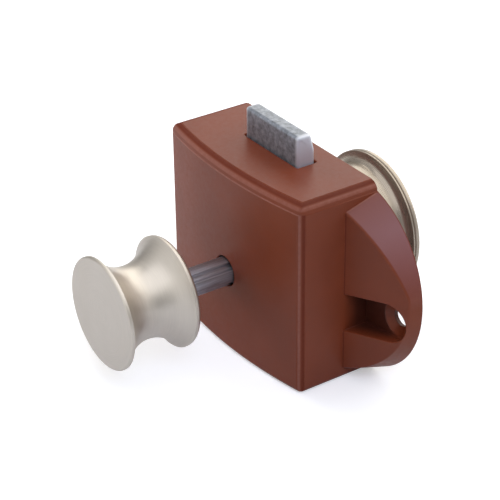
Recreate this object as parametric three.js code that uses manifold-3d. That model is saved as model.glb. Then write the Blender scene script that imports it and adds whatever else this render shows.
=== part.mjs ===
// A push lock for a bathroom door, drawn locked: the bolt stands out of the top of the case.
//
// Millimetres, +Z up. The origin lies on the spindle's axis, in the flat back of the case, which
// seats on the inside of the door. +Y runs through the door to the outer knob, -Y to the inner
// knob, +Z along the bolt. Pressing the inner knob slides the spindle along +Y. The slider on it
// carries two drive pins in the sloping slots of the bolt's legs, so the bolt goes down as it slides.

import * as THREE from 'three';
import { mergeVertices } from 'three/addons/utils/BufferGeometryUtils.js';
import Module from 'manifold-3d';

const wasm = await Module();
wasm.setup();

// Motion
const spindleTravel = 10.0; // locked to unlocked
const overPress = 0.8; // past locked, to free the follower from the notch
const boltTravel = 7.0; // the bolt's top ends level with the case

// Clearances
const seatGap = 0.3; // between pieces that rest on each other
const slipGap = 0.3; // between pieces that slide
const rearStopGap = 0.4; // slider to back plate when unlocked
const cutOverrun = 3.0; // how far a cutter runs past what it cuts

// Case
const caseWidth = 51.2;
const caseSideDepth = 20.1; // at the side walls
const frontBow = 2.65; // the front stands this much further out at its middle
const axisToTop = 26.5;
const axisToBottom = 20.4;
const frontCornerRadius = 1.8; // upright front edges
const topEdgeRadius = 1.9; // edge round the top
const bottomEdgeRadius = 0.8; // edge round the bottom
const wall = 2.0;
const bushSeatRadius = 4.35; // counterbore behind the front hole

// Ears, one on each side of the case, that take the wood screws
const earRadius = 23.2; // outline of the ear at the door
const earCentreInset = 6.7; // from the case's side to the middle of that outline
const earCentreHeight = 2.2;
const earRootHeight = 8.7; // how far forward the ear reaches at the case
const earTipHeight = 2.9; // and at its tip
const ridgeInset = 1.95; // the lower ridge is this much smaller in radius than the outline
const ridgeShiftAcross = 1.26; // its centre, from the outline's
const ridgeShiftUp = 0.81;
const ridgeTipRadius = 2.0; // between the lower ridge and the flatter upper one
const ridgeUpperRadius = 44.0;
const ridgeTipStart = 0.117; // radians above level, where the tip's arc starts
const ridgeTipEnd = 0.522;
const pocketHeight = 9.2; // recess for the wood screw, open forward
const pocketRootHeight = -3.05; // its middle at the case
const pocketRoundHeight = -1.7; // and at its round end, which is the hole's place
const pocketRoundInset = 6.0; // from the ear's tip to the hole
const pocketFloor = 2.3;
const woodScrewHoleRadius = 2.2;
const countersinkRadius = 3.8;
const countersinkDepth = 1.5;

// Back plate, let into the back of the case
const plateThickness = 1.6;
const plateLedge = 0.9; // how far it reaches onto the case's wall
const plateCornerRadius = 1.4;
const collarHeight = 1.8; // ring that centres the rosette's sleeve
const collarThickness = 1.3;

// Screws of the back plate
const plateScrewSideInset = 6.2; // from the case's side
const plateScrewTopInset = 5.7; // from the case's top
const plateScrewBottomInset = 5.6; // from the case's bottom
const plateScrewShankRadius = 1.1;
const plateScrewHeadRadius = 2.2;
const plateScrewHeadDepth = 1.1;
const plateScrewLength = 9.0;
const plateScrewRecess = 0.7; // depth of the cross in the head
const plateScrewRecessWidth = 0.55;
const plateScrewRecessLength = 2.4;
const bossRadius = 3.0;

// Rosette: a flange on the outside of the door and a sleeve through it
const doorThickness = 18.0;
const knobToSleeve = 0.5; // the outer knob slides in the sleeve
const sleeveThickness = 1.2;
const flangeWidth = 2.4; // beyond the sleeve
const flangeThickness = 1.9;
const flangeEdgeRadius = 0.7;
const flangeGrooveDepth = 0.35; // fine groove round the flange's edge
const flangeGrooveWidth = 0.45;

// Knobs, both alike
const knobRadius = 13.0;
const knobLength = 17.7;
const knobRimWidth = 0.9; // thin rim round the face
const knobRearRimWidth = 1.3;
const knobRearRadius = 12.9;
const knobWaistRadius = 8.5;
const knobEdgeRadius = 0.5;
const knobRearEdgeRadius = 0.9;
const knobBoreDepth = 11.5;
const innerKnobStandOff = 14.45; // from the case's front to the knob's rear

// Spindle
const spindleRadius = 3.35;
const spindleGrooves = 4; // along the bar
const spindleGrooveRadius = 0.95;
const spindleGrooveDepth = 0.75;
const spindleEndGap = 0.25; // bar's end to the knob's bore floor

// Grub screws that hold the knobs
const grubRadius = 1.5;
const grubStation = 8.6; // from the knob's rear
const grubInset = 0.5; // its outer end lies below the waist
const grubSocketRadius = 0.75;
const grubSocketDepth = 1.6;

// Slider
const sliderHalfHeight = 6.6;
const sliderEdge = 0.8; // chamfer along the block
const sliderBossRadius = 6.7;
const sliderBossLength = 13.0;
const springPocketRadius = 5.4;
const springPocketDepth = 10.0;
const keelHalfWidth = 4.8;
const keelDepth = 9.2; // from the axis to the keel's underside
const drivePinRadius = 1.3;
const drivePinSeat = 1.4; // how deep a drive pin sits in the slider
const sliderPinRadius = 1.0;
const sliderPinInset = 6.6; // from the boss's rear
const sliderPinShortfall = 0.5; // its ends lie below the boss

// Bolt
const boltHalfWidth = 10.0;
const boltFront = -9.9; // front face of the head
const boltThickness = 4.7;
const boltEndRadius = 0.6; // upper corners
const boltBevelHeight = 4.0; // leading bevel on the door's side
const boltBevelDepth = 1.1;
const boltLegThickness = 1.6;
const boltLegWallBelow = 1.4; // metal left under the slot
const boltLegAboveHead = 7.0; // the legs overlap the head's sides by this height
const railThickness = 1.4; // ribs in the case that guide the legs
const railRootShare = 0.75; // the ribs reach this deep into the case's front wall
const railFoot = 0.6; // they reach below the lowest place of the legs by this

// Follower wire and heart-shaped track
const wireRadius = 0.5;
const wireBend = 1.1;
const tipStation = -3.6; // the follower's tip along the spindle's axis
const trackDepth = 1.3;
const trackHalfWidth = 3.1;
const trackTailHalfWidth = 0.95;
const trackShoulder = 6.2; // where the track has narrowed to its tail, behind the tip
const heartHalfWidth = 1.45;
const heartLength = 6.0;
const heartNotchDepth = 0.9;
const heartLobeShare = 0.62; // a lobe's top across the heart's half width
const heartSideShare = 0.25; // the widest place along the heart's length
const wireTipGap = 0.5; // below the track's ceiling
const wireDrop = 1.3; // the wire's run under the keel
const pillarInset = 4.35; // from the inside of the case's front to the pillar's middle
const pillarRadius = 2.4;
const pillarHoleDepth = 4.0;

// Bush in the front wall
const bushFlangeReach = 0.75; // beyond its seat in the case
const bushFlangeThickness = 0.5;
const bushRecess = 0.8; // its end lies below the case's front, behind the front hole's lip

// Spring
const springWireRadius = 0.4;
const springMeanRadius = 4.35;
const springCurls = 5;
const springEndBend = 0.9;
const springBendShare = 0.7; // middle of an end's bend
const leastSelfGap = 0.4;

// Facets
const roundSides = 48;
const holeSides = 32;
const smallSides = 20;
const earSteps = 24;
const curlSteps = 8;
const wireSides = 5;
const mergeDistance = 1e-4;

// Places along the spindle's axis
const frontCrest = -(caseSideDepth + frontBow);
const frontInside = frontCrest + wall;
const innerKnobRear = frontCrest - innerKnobStandOff;
const bushFlangeFront = frontInside + seatGap;
const bushFlangeRear = bushFlangeFront + bushFlangeThickness;
const plateFront = -plateThickness;
const ledgePlace = plateFront - seatGap;
const sliderRear = plateFront - rearStopGap - spindleTravel;
const sliderFront = bushFlangeRear + slipGap + overPress;
const drivePinStation = (sliderFront + sliderRear) / 2;
const bossRear = sliderRear + sliderBossLength;
const springFloor = sliderFront + springPocketDepth;
const sliderPinStation = bossRear - sliderPinInset;
const pillarStation = frontInside + pillarInset;
const collarToKnob = 0.7; // collar to knob when over-pressed
const outerKnobRear = collarHeight + collarToKnob + overPress;
const flangeBack = doorThickness;
const flangeFront = flangeBack + flangeThickness;

// Heights and widths that follow from them
const caseHalfWidth = caseWidth / 2;
const boltBack = boltFront + boltThickness;
const boltTop = axisToTop + boltTravel;
const slotRadius = drivePinRadius + slipGap;
const rise = boltTravel / spindleTravel;
const headBottom = sliderBossRadius + slipGap + boltTravel;
const legInner = boltHalfWidth - boltLegThickness;
const sliderHalfWidth = legInner - slipGap;
const legBottom = -(overPress * rise + slotRadius + boltLegWallBelow);
const railInner = boltHalfWidth + slipGap;
const plateHoleRadius = sliderBossRadius + slipGap;
const boreRadius = spindleRadius + slipGap;
const bushRadius = bushSeatRadius - seatGap;
const bushFlangeRadius = bushSeatRadius + bushFlangeReach;
const sleeveInnerRadius = knobRadius + knobToSleeve;
const collarRadius = sleeveInnerRadius - seatGap;
const sleeveRadius = sleeveInnerRadius + sleeveThickness;
const flangeRadius = sleeveRadius + flangeWidth;
const outlineBowRadius = (caseHalfWidth ** 2 + frontBow ** 2) / (2 * frontBow);
const bowCentre = frontCrest + outlineBowRadius;
const legFront = bowCentre - Math.sqrt((outlineBowRadius - wall) ** 2 - boltHalfWidth ** 2) + slipGap;
const legRear = plateFront - slipGap;
const earRoot = caseHalfWidth - wall / 2;
const earCentreAcross = caseHalfWidth - earCentreInset;
const earTipAcross = earCentreAcross + earRadius;
const pocketRoundAcross = earTipAcross - pocketRoundInset;
const wireHeight = -(keelDepth + wireDrop);
const tipHeight = -(keelDepth - trackDepth + wireTipGap);

const alongX = new THREE.Matrix4().makeBasis(
  new THREE.Vector3(0, 1, 0),
  new THREE.Vector3(0, 0, 1),
  new THREE.Vector3(1, 0, 0),
);

// Points of an arc about (across, up), both ends included.
function arc(across, up, radius, from, to, count) {
  return Array.from({ length: count + 1 }, (_, i) => {
    const angle = from + ((to - from) * i) / count;
    return new THREE.Vector2(across + radius * Math.cos(angle), up + radius * Math.sin(angle));
  });
}

function points(pairs) {
  return pairs.map(([across, up]) => new THREE.Vector2(across, up));
}

// Volume enclosed by a mesh, negative where its faces point inwards.
function signedVolume(position, index) {
  const [a, b, c] = [0, 0, 0].map(() => new THREE.Vector3());
  let sum = 0;
  for (let i = 0; i < index.length; i += 3) {
    a.fromBufferAttribute(position, index[i]);
    b.fromBufferAttribute(position, index[i + 1]);
    c.fromBufferAttribute(position, index[i + 2]);
    sum += a.dot(b.cross(c));
  }
  return sum / 6;
}

// A closed geometry as a solid whose faces point outwards.
function solid(geometry) {
  const bare = geometry.clone();
  bare.deleteAttribute('normal');
  bare.deleteAttribute('uv');
  const merged = mergeVertices(bare, mergeDistance);
  const corners = Uint32Array.from(merged.index.array);
  if (signedVolume(merged.attributes.position, corners) < 0) {
    for (let i = 0; i < corners.length; i += 3) {
      [corners[i], corners[i + 1]] = [corners[i + 1], corners[i]];
    }
  }
  const vertProperties = Float32Array.from(merged.attributes.position.array);
  return new wasm.Manifold(new wasm.Mesh({ numProp: 3, vertProperties, triVerts: corners }));
}

function join(first, ...others) {
  return others.reduce((whole, other) => whole.add(other), first);
}

function cut(first, ...others) {
  return others.reduce((whole, other) => whole.subtract(other), first);
}

function block(x, y, z) {
  const geometry = new THREE.BoxGeometry(x[1] - x[0], y[1] - y[0], z[1] - z[0]);
  geometry.translate((x[0] + x[1]) / 2, (y[0] + y[1]) / 2, (z[0] + z[1]) / 2);
  return solid(geometry);
}

// A closed geometry through rings of points, which all have as many, with a flat cap at each end.
function loft(rings) {
  const count = rings[0].length;
  const position = rings.flat().flatMap((point) => point.toArray());
  const index = [];
  for (let i = 0; i + 1 < rings.length; i += 1) {
    for (let k = 0; k < count; k += 1) {
      const a = i * count + k;
      const b = i * count + ((k + 1) % count);
      index.push(a, b, b + count, a, b + count, a + count);
    }
  }
  const last = (rings.length - 1) * count;
  for (let k = 1; k + 1 < count; k += 1) {
    index.push(0, k + 1, k, last, last + k, last + k + 1);
  }
  const geometry = new THREE.BufferGeometry();
  geometry.setAttribute('position', new THREE.Float32BufferAttribute(position, 3));
  geometry.setIndex(index);
  return geometry;
}

// An outline in X and Y, carried up from low to high.
function risen(outline, low, high) {
  const shape = new THREE.Shape(outline);
  const geometry = new THREE.ExtrudeGeometry(shape, { depth: high - low, bevelEnabled: false });
  geometry.translate(0, 0, low);
  return solid(geometry);
}

// An outline in X and Z, carried along Y from front to rear.
function carriedAlongY(outline, front, rear) {
  const shape = new THREE.Shape(outline);
  const geometry = new THREE.ExtrudeGeometry(shape, { depth: rear - front, bevelEnabled: false });
  geometry.rotateX(Math.PI / 2);
  geometry.translate(0, rear, 0);
  return solid(geometry);
}

// An outline in Y and Z, carried along X from left to right.
function carriedAlongX(outline, left, right) {
  const shape = new THREE.Shape(outline);
  const geometry = new THREE.ExtrudeGeometry(shape, { depth: right - left, bevelEnabled: false });
  geometry.applyMatrix4(alongX);
  geometry.translate(left, 0, 0);
  return solid(geometry);
}

// A profile of (radius, place along Y), turned about the spindle's axis.
function turned(profile, sides = roundSides) {
  return solid(new THREE.LatheGeometry(profile, sides));
}

function ringProfile(inner, outer, front, rear) {
  return points([[inner, front], [outer, front], [outer, rear], [inner, rear], [inner, front]]);
}

function rodAlongY(radius, front, rear, sides = smallSides, frontRadius = radius) {
  const geometry = new THREE.CylinderGeometry(radius, frontRadius, rear - front, sides);
  geometry.translate(0, (front + rear) / 2, 0);
  return geometry;
}

function rodAlongX(radius, left, right, sides = smallSides) {
  const geometry = new THREE.CylinderGeometry(radius, radius, right - left, sides);
  geometry.rotateZ(Math.PI / 2);
  geometry.translate((left + right) / 2, 0, 0);
  return geometry;
}

function rodAlongZ(radius, low, high, sides = smallSides) {
  const geometry = new THREE.CylinderGeometry(radius, radius, high - low, sides);
  geometry.rotateX(Math.PI / 2);
  geometry.translate(0, 0, (low + high) / 2);
  return geometry;
}

function placed(geometry, x, y, z) {
  geometry.translate(x, y, z);
  return solid(geometry);
}

// Plan of the case, inset all round: straight sides, round front corners, bowed front. It runs
// past the back plane, where the case is cut flat.
function casePlan(inset) {
  const half = caseHalfWidth - inset;
  const bow = outlineBowRadius - inset;
  const corner = Math.max(frontCornerRadius - inset, seatGap);
  const cornerAcross = half - corner;
  const cornerPlace = bowCentre - Math.sqrt((bow - corner) ** 2 - cornerAcross ** 2);
  const lean = Math.atan2(cornerPlace - bowCentre, cornerAcross);
  return [
    ...points([[half, cutOverrun]]),
    ...arc(cornerAcross, cornerPlace, corner, 0, lean, 4),
    ...arc(0, bowCentre, bow, lean, -Math.PI - lean, 20).slice(1, -1),
    ...arc(-cornerAcross, cornerPlace, corner, -Math.PI - lean, -Math.PI, 4),
    ...points([[-half, cutOverrun]]),
  ];
}

function roundedRectangle(half, low, high, radius) {
  const quarter = Math.PI / 2;
  return [
    ...arc(half - radius, high - radius, radius, 0, quarter, 4),
    ...arc(-half + radius, high - radius, radius, quarter, 2 * quarter, 4),
    ...arc(-half + radius, low + radius, radius, 2 * quarter, 3 * quarter, 4),
    ...arc(half - radius, low + radius, radius, 3 * quarter, 4 * quarter, 4),
  ];
}

// A slot with round ends between two points of a plane.
function obround(start, end, radius, count = 8) {
  const lean = Math.atan2(end[1] - start[1], end[0] - start[0]);
  const quarter = Math.PI / 2;
  return [
    ...arc(end[0], end[1], radius, lean - quarter, lean + quarter, count),
    ...arc(start[0], start[1], radius, lean + quarter, lean + 3 * quarter, count),
  ];
}

const plateScrewPlaces = [-1, 1].flatMap((side) => [
  [side * (caseHalfWidth - plateScrewSideInset), axisToTop - plateScrewTopInset],
  [side * (caseHalfWidth - plateScrewSideInset), -axisToBottom + plateScrewBottomInset],
]);

// The case's block: its plan carried up, drawn in along a quarter round at the bottom and the top.
function caseBlock() {
  const quarter = Math.PI / 2;
  const [under, over] = [bottomEdgeRadius, topEdgeRadius];
  const low = arc(under, under - axisToBottom, under, 3 * quarter, 2 * quarter, 3);
  const high = arc(over, axisToTop - over, over, 2 * quarter, quarter, 4);
  const rings = [...low, ...high].map(({ x: inset, y: height }) =>
    casePlan(inset).map((point) => new THREE.Vector3(point.x, point.y, height)));
  return solid(loft(rings));
}

// Outline of an ear at the door, from its top to its bottom.
function earOutline() {
  const lean = Math.acos((earRoot - earCentreAcross) / earRadius);
  return new THREE.Path(arc(earCentreAcross, earCentreHeight, earRadius, lean, -lean, earSteps * 2));
}

// Front ridge of an ear, from its top to its bottom: a flat arc, a tight one at the tip and a
// round one below, each tangent to the next.
function earRidge() {
  const radius = earRadius - ridgeInset;
  const across = earCentreAcross + ridgeShiftAcross;
  const height = earCentreHeight + ridgeShiftUp;
  const tip = arc(across, height, radius - ridgeTipRadius, ridgeTipStart, ridgeTipStart, 1)[0];
  const reach = ridgeUpperRadius - ridgeTipRadius;
  const upper = arc(tip.x, tip.y, -reach, ridgeTipEnd, ridgeTipEnd, 1)[0];
  const top = Math.acos((earRoot - upper.x) / ridgeUpperRadius);
  const bottom = Math.acos((earRoot - across) / radius);
  return new THREE.Path([
    ...arc(upper.x, upper.y, ridgeUpperRadius, top, ridgeTipEnd, earSteps),
    ...arc(tip.x, tip.y, ridgeTipRadius, ridgeTipEnd, ridgeTipStart, 4).slice(1),
    ...arc(across, height, radius, ridgeTipStart, -bottom, earSteps).slice(1),
  ]);
}

// One ear: its wall runs straight from the outline at the door to the ridge of its sloping front.
function ear(side) {
  const slope = (earRootHeight - earTipHeight) / (earTipAcross - caseHalfWidth);
  const ring = (path, place) => path.getSpacedPoints(earSteps)
    .map((point) => new THREE.Vector3(side * point.x, place(point.x), point.y));
  const door = ring(earOutline(), () => 0);
  const front = ring(earRidge(), (across) => -earRootHeight + slope * (across - caseHalfWidth));
  return solid(loft([door, front]));
}

function earRecess(side) {
  const half = pocketHeight / 2;
  const round = [pocketRoundAcross, pocketRoundHeight];
  const lean = Math.atan2(pocketRoundHeight - pocketRootHeight, pocketRoundAcross - caseHalfWidth);
  const quarter = Math.PI / 2;
  const outline = [
    ...points([[caseHalfWidth, pocketRootHeight - half]]),
    ...arc(round[0], round[1], half, lean - quarter, lean + quarter, 12),
    ...points([[caseHalfWidth, pocketRootHeight + half]]),
  ].map((point) => new THREE.Vector2(side * point.x, point.y));
  const recess = carriedAlongY(outline, -earRootHeight - cutOverrun, -pocketFloor);
  const place = [side * round[0], 0, round[1]];
  const hole = rodAlongY(woodScrewHoleRadius, -pocketFloor - cutOverrun, cutOverrun);
  const sinkDepth = Math.min(countersinkDepth, pocketFloor);
  const sinkEnd = -pocketFloor + sinkDepth;
  const sink = rodAlongY(woodScrewHoleRadius, -pocketFloor, sinkEnd, smallSides, countersinkRadius);
  return join(recess, placed(hole, ...place), placed(sink, ...place));
}

function caseShell() {
  const bottom = -axisToBottom;
  const behind = [0, 2 * cutOverrun];
  const wide = [-earTipAcross - cutOverrun, earTipAcross + cutOverrun];
  const tall = [bottom - cutOverrun, axisToTop + cutOverrun];
  const inside = risen(casePlan(wall), bottom + wall, axisToTop - wall);
  const rebateHalf = caseHalfWidth - wall + plateLedge;
  const rebateLow = bottom + wall - plateLedge;
  const rebateHigh = axisToTop - wall + plateLedge;
  const rebate = carriedAlongY(
    roundedRectangle(rebateHalf, rebateLow, rebateHigh, plateCornerRadius),
    ledgePlace,
    cutOverrun,
  );
  const hollow = cut(join(caseBlock(), ear(-1), ear(1)), block(wide, behind, tall), inside, rebate);
  const bosses = plateScrewPlaces.map(([x, z]) =>
    placed(rodAlongY(bossRadius, -caseSideDepth, ledgePlace), x, 0, z));
  const railFront = frontCrest + wall * railRootShare;
  const rails = [-1, 1].map((side) => {
    const across = [side * railInner, side * (railInner + railThickness)].sort((a, b) => a - b);
    const low = legBottom - boltTravel - railFoot;
    return block(across, [railFront, ledgePlace], [low, axisToTop - wall / 2]);
  });
  const pillarTop = wireHeight - wireRadius - seatGap;
  const pillar = placed(rodAlongZ(pillarRadius, bottom + wall / 2, pillarTop), 0, pillarStation, 0);
  const wireHoleEnd = pillarTop - pillarHoleDepth;
  const wireHole = rodAlongZ(wireRadius + slipGap, wireHoleEnd, pillarTop + cutOverrun, 12);
  const screwHoles = plateScrewPlaces.map(([x, z]) => {
    const deep = plateFront - plateScrewLength - seatGap;
    return placed(rodAlongY(plateScrewShankRadius + slipGap, deep, cutOverrun, 12), x, 0, z);
  });
  const slotSide = boltHalfWidth + slipGap;
  const boltSlot = block(
    [-slotSide, slotSide],
    [boltFront - slipGap, boltBack + slipGap],
    [axisToTop - wall - cutOverrun / 2, axisToTop + cutOverrun],
  );
  const holeEnd = frontInside + cutOverrun;
  const frontHole = solid(rodAlongY(boreRadius, frontCrest - cutOverrun, holeEnd, holeSides));
  const bushFront = frontCrest + bushRecess;
  const bushSeat = solid(rodAlongY(bushSeatRadius, bushFront - seatGap, holeEnd, holeSides));
  return cut(
    join(hollow, ...bosses, ...rails, pillar),
    placed(wireHole, 0, pillarStation, 0),
    ...screwHoles,
    boltSlot,
    frontHole,
    bushSeat,
    earRecess(-1),
    earRecess(1),
  );
}

function backPlate() {
  const half = caseHalfWidth - wall + plateLedge - seatGap;
  const low = -axisToBottom + wall - plateLedge + seatGap;
  const high = axisToTop - wall + plateLedge - seatGap;
  const plate = carriedAlongY(roundedRectangle(half, low, high, plateCornerRadius), plateFront, 0);
  const collarInner = collarRadius - collarThickness;
  const collar = turned(ringProfile(collarInner, collarRadius, plateFront / 2, collarHeight));
  const hole = solid(rodAlongY(plateHoleRadius, plateFront - cutOverrun, cutOverrun, roundSides));
  const keelSide = keelHalfWidth + slipGap;
  const keelWay = block(
    [-keelSide, keelSide],
    [plateFront - cutOverrun, cutOverrun],
    [-keelDepth - slipGap, 0],
  );
  const flare = (plateScrewHeadRadius - plateScrewShankRadius) / plateScrewHeadDepth;
  const sinkFoot = plateScrewShankRadius + slipGap;
  const sinkDepth = seatGap + plateScrewHeadDepth;
  const sinkMouth = sinkFoot + flare * (sinkDepth + cutOverrun);
  const headHoles = plateScrewPlaces.map(([x, z]) => join(
    placed(rodAlongY(sinkFoot, plateFront - cutOverrun, cutOverrun), x, 0, z),
    placed(rodAlongY(sinkMouth, -sinkDepth, cutOverrun, smallSides, sinkFoot), x, 0, z),
  ));
  return cut(join(plate, collar), hole, keelWay, ...headHoles);
}

function plateScrew(x, z) {
  const head = -seatGap;
  const headRear = head - plateScrewHeadDepth;
  const shankEnd = plateFront - plateScrewLength;
  const profile = points([
    [0, shankEnd],
    [plateScrewShankRadius / 2, shankEnd],
    [plateScrewShankRadius, shankEnd + plateScrewShankRadius],
    [plateScrewShankRadius, headRear],
    [plateScrewHeadRadius, head],
    [0, head],
  ]);
  const half = plateScrewRecessLength / 2;
  const thin = plateScrewRecessWidth / 2;
  const depth = [head - plateScrewRecess, head + cutOverrun];
  const cross = join(block([-half, half], depth, [-thin, thin]), block([-thin, thin], depth, [-half, half]));
  return cut(turned(profile, smallSides), cross).translate([x, 0, z]);
}

function rosette() {
  const quarter = Math.PI / 2;
  const edgeCentre = flangeRadius - flangeEdgeRadius;
  const grooveMiddle = flangeBack + (flangeThickness - flangeEdgeRadius) / 2;
  const grooveHalf = flangeGrooveWidth / 2;
  const profile = [
    ...points([
      [sleeveInnerRadius, seatGap],
      [sleeveRadius, seatGap],
      [sleeveRadius, flangeBack],
      [flangeRadius, flangeBack],
      [flangeRadius, grooveMiddle - grooveHalf],
      [flangeRadius - flangeGrooveDepth, grooveMiddle],
      [flangeRadius, grooveMiddle + grooveHalf],
    ]),
    ...arc(edgeCentre, flangeFront - flangeEdgeRadius, flangeEdgeRadius, 0, quarter, 4),
    ...points([
      [sleeveInnerRadius + flangeEdgeRadius / 2, flangeFront],
      [sleeveInnerRadius, flangeFront - flangeEdgeRadius / 2],
      [sleeveInnerRadius, seatGap],
    ]),
  ];
  return turned(profile, 60);
}

// A knob's profile, measured from its face towards its rear: thin rim, hollow waist, rear rim.
function knobProfile() {
  const quarter = Math.PI / 2;
  const rearPlace = knobLength - knobRearRimWidth;
  const chord = rearPlace - knobRimWidth;
  const hollow = (knobRadius + knobRearRadius) / 2 - knobWaistRadius;
  const radius = ((chord / 2) ** 2 + hollow ** 2) / (2 * hollow);
  const middle = knobRimWidth + chord / 2;
  const centre = knobWaistRadius + radius;
  const start = Math.atan2(knobRimWidth - middle, knobRadius - centre);
  const end = Math.atan2(rearPlace - middle, knobRearRadius - centre);
  const hollowArc = arc(centre, middle, radius, start + 4 * quarter, end, 10);
  const edge = knobEdgeRadius;
  const rearEdge = knobRearEdgeRadius;
  return [
    ...points([[0, 0]]),
    ...arc(knobRadius - edge, edge, edge, -quarter, 0, 3),
    ...hollowArc,
    ...arc(knobRearRadius - rearEdge, knobLength - rearEdge, rearEdge, 0, quarter, 3),
    ...points([
      [boreRadius, knobLength],
      [boreRadius, knobLength - knobBoreDepth],
      [0, knobLength - knobBoreDepth],
    ]),
  ];
}

// side is -1 for the inner knob, whose face looks along -Y, and 1 for the outer one.
function knob(side, rear) {
  const place = (point) => new THREE.Vector2(point.x, rear + side * (knobLength - point.y));
  const grubHole = rodAlongZ(grubRadius + slipGap, -knobRadius, -spindleRadius, smallSides);
  grubHole.translate(0, rear + side * grubStation, 0);
  return cut(turned(knobProfile().map(place)), solid(grubHole));
}

function grubScrew(side, rear) {
  const foot = -(spindleRadius + seatGap);
  const top = -(knobWaistRadius - grubInset);
  const body = solid(rodAlongZ(grubRadius, top, foot));
  const socket = solid(rodAlongZ(grubSocketRadius, top - cutOverrun, top + grubSocketDepth, 6));
  return cut(body, socket).translate([0, rear + side * grubStation, 0]);
}

function spindle() {
  const bore = knobBoreDepth - spindleEndGap;
  const front = innerKnobRear - bore;
  const rear = outerKnobRear + bore;
  const centre = spindleRadius + spindleGrooveRadius - spindleGrooveDepth;
  const grooves = Array.from({ length: spindleGrooves }, (_, i) => {
    const angle = ((2 * i + 1) * Math.PI) / spindleGrooves;
    const groove = rodAlongY(spindleGrooveRadius, front - cutOverrun, rear + cutOverrun, 12);
    return placed(groove, centre * Math.cos(angle), 0, centre * Math.sin(angle));
  });
  const reach = spindleRadius + cutOverrun;
  const pinHole = rodAlongX(sliderPinRadius + slipGap, -reach, reach, 16);
  const bar = solid(rodAlongY(spindleRadius, front, rear, 40));
  return cut(bar, ...grooves, placed(pinHole, 0, sliderPinStation, 0));
}

// The heart-shaped track under the keel, in the slider's own place when locked.
function heartTrack() {
  const quarter = Math.PI / 2;
  const tailPlace = tipStation - spindleTravel;
  const shoulder = tipStation - trackShoulder;
  const arch = wireRadius + overPress + slipGap;
  const outline = [
    ...arc(0, tailPlace, trackTailHalfWidth, -2 * quarter, 0, 6),
    ...points([[trackTailHalfWidth, shoulder], [trackHalfWidth, shoulder + trackHalfWidth]]),
    ...points([[trackHalfWidth, tipStation]]),
    ...points([[trackHalfWidth * heartLobeShare, tipStation + arch], [0, tipStation + arch / 2 + overPress]]),
    ...points([[-trackHalfWidth * heartLobeShare, tipStation + arch], [-trackHalfWidth, tipStation]]),
    ...points([[-trackHalfWidth, shoulder + trackHalfWidth], [-trackTailHalfWidth, shoulder]]),
  ];
  const notch = tipStation - wireRadius - slipGap;
  const lobe = heartHalfWidth * heartLobeShare;
  const widest = notch - heartLength * heartSideShare;
  const heart = points([
    [0, notch],
    [lobe, notch + heartNotchDepth],
    [heartHalfWidth, notch + heartNotchDepth / 2],
    [heartHalfWidth, widest],
    [0, notch - heartLength],
    [-heartHalfWidth, widest],
    [-heartHalfWidth, notch + heartNotchDepth / 2],
    [-lobe, notch + heartNotchDepth],
  ]);
  const ceiling = -keelDepth + trackDepth;
  const low = -keelDepth - cutOverrun;
  return cut(risen(outline, low, ceiling), risen(heart, low, ceiling + cutOverrun));
}

function camSlider() {
  const half = sliderHalfHeight;
  const side = sliderHalfWidth;
  const section = points([
    [side, -half + sliderEdge],
    [side, half - sliderEdge],
    [side - sliderEdge, half],
    [-side + sliderEdge, half],
    [-side, half - sliderEdge],
    [-side, -half + sliderEdge],
    [-side + sliderEdge, -half],
    [side - sliderEdge, -half],
  ]);
  const body = carriedAlongY(section, sliderFront, sliderRear);
  const boss = solid(rodAlongY(sliderBossRadius, sliderRear - sliderEdge, bossRear, roundSides));
  const keelAcross = [-keelHalfWidth, keelHalfWidth];
  const keel = block(keelAcross, [sliderFront, bossRear], [-keelDepth, -keelHalfWidth / 2]);
  const bore = solid(rodAlongY(boreRadius, sliderFront - cutOverrun, bossRear + cutOverrun, 32));
  const pocket = solid(rodAlongY(springPocketRadius, sliderFront - cutOverrun, springFloor, 32));
  const reach = sliderHalfWidth + cutOverrun;
  const pinHole = rodAlongX(sliderPinRadius + slipGap / 2, -reach, reach, 16);
  const seatEnd = sliderHalfWidth - drivePinSeat - seatGap;
  const seats = [[-reach, -seatEnd], [seatEnd, reach]].map(([left, right]) =>
    placed(rodAlongX(drivePinRadius + slipGap / 2, left, right), 0, drivePinStation, 0));
  return cut(
    join(body, boss, keel),
    bore,
    pocket,
    placed(pinHole, 0, sliderPinStation, 0),
    ...seats,
    heartTrack(),
  );
}

function drivePin(side) {
  const ends = [side * (sliderHalfWidth - drivePinSeat), side * boltHalfWidth].sort((a, b) => a - b);
  return placed(rodAlongX(drivePinRadius, ...ends), 0, drivePinStation, 0);
}

function sliderPin() {
  const half = sliderBossRadius - sliderPinShortfall;
  return placed(rodAlongX(sliderPinRadius, -half, half, 16), 0, sliderPinStation, 0);
}

// The bolt: a head between two legs, each with a sloping slot for its drive pin.
function latchBolt() {
  const side = boltHalfWidth;
  const bevelFoot = boltTop - boltBevelHeight;
  const profile = carriedAlongX(points([
    [boltFront, headBottom],
    [boltBack, headBottom],
    [boltBack, bevelFoot],
    [boltBack - boltBevelDepth, boltTop],
    [boltFront, boltTop],
  ]), -side, side);
  const quarter = Math.PI / 2;
  const face = carriedAlongY([
    ...points([[-side, headBottom], [side, headBottom]]),
    ...arc(side - boltEndRadius, boltTop - boltEndRadius, boltEndRadius, 0, quarter, 5),
    ...arc(-side + boltEndRadius, boltTop - boltEndRadius, boltEndRadius, quarter, 2 * quarter, 5),
  ], boltFront - cutOverrun, boltBack + cutOverrun);
  const legTop = headBottom + boltLegAboveHead;
  const legs = [[-side, -legInner], [legInner, side]].map((across) =>
    block(across, [legFront, legRear], [legBottom, legTop]));
  const start = [drivePinStation - overPress, -overPress * rise];
  const end = [drivePinStation + spindleTravel, boltTravel];
  const slots = carriedAlongX(obround(start, end, slotRadius), -side - cutOverrun, side + cutOverrun);
  return cut(join(profile.intersect(face), ...legs), slots);
}

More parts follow.
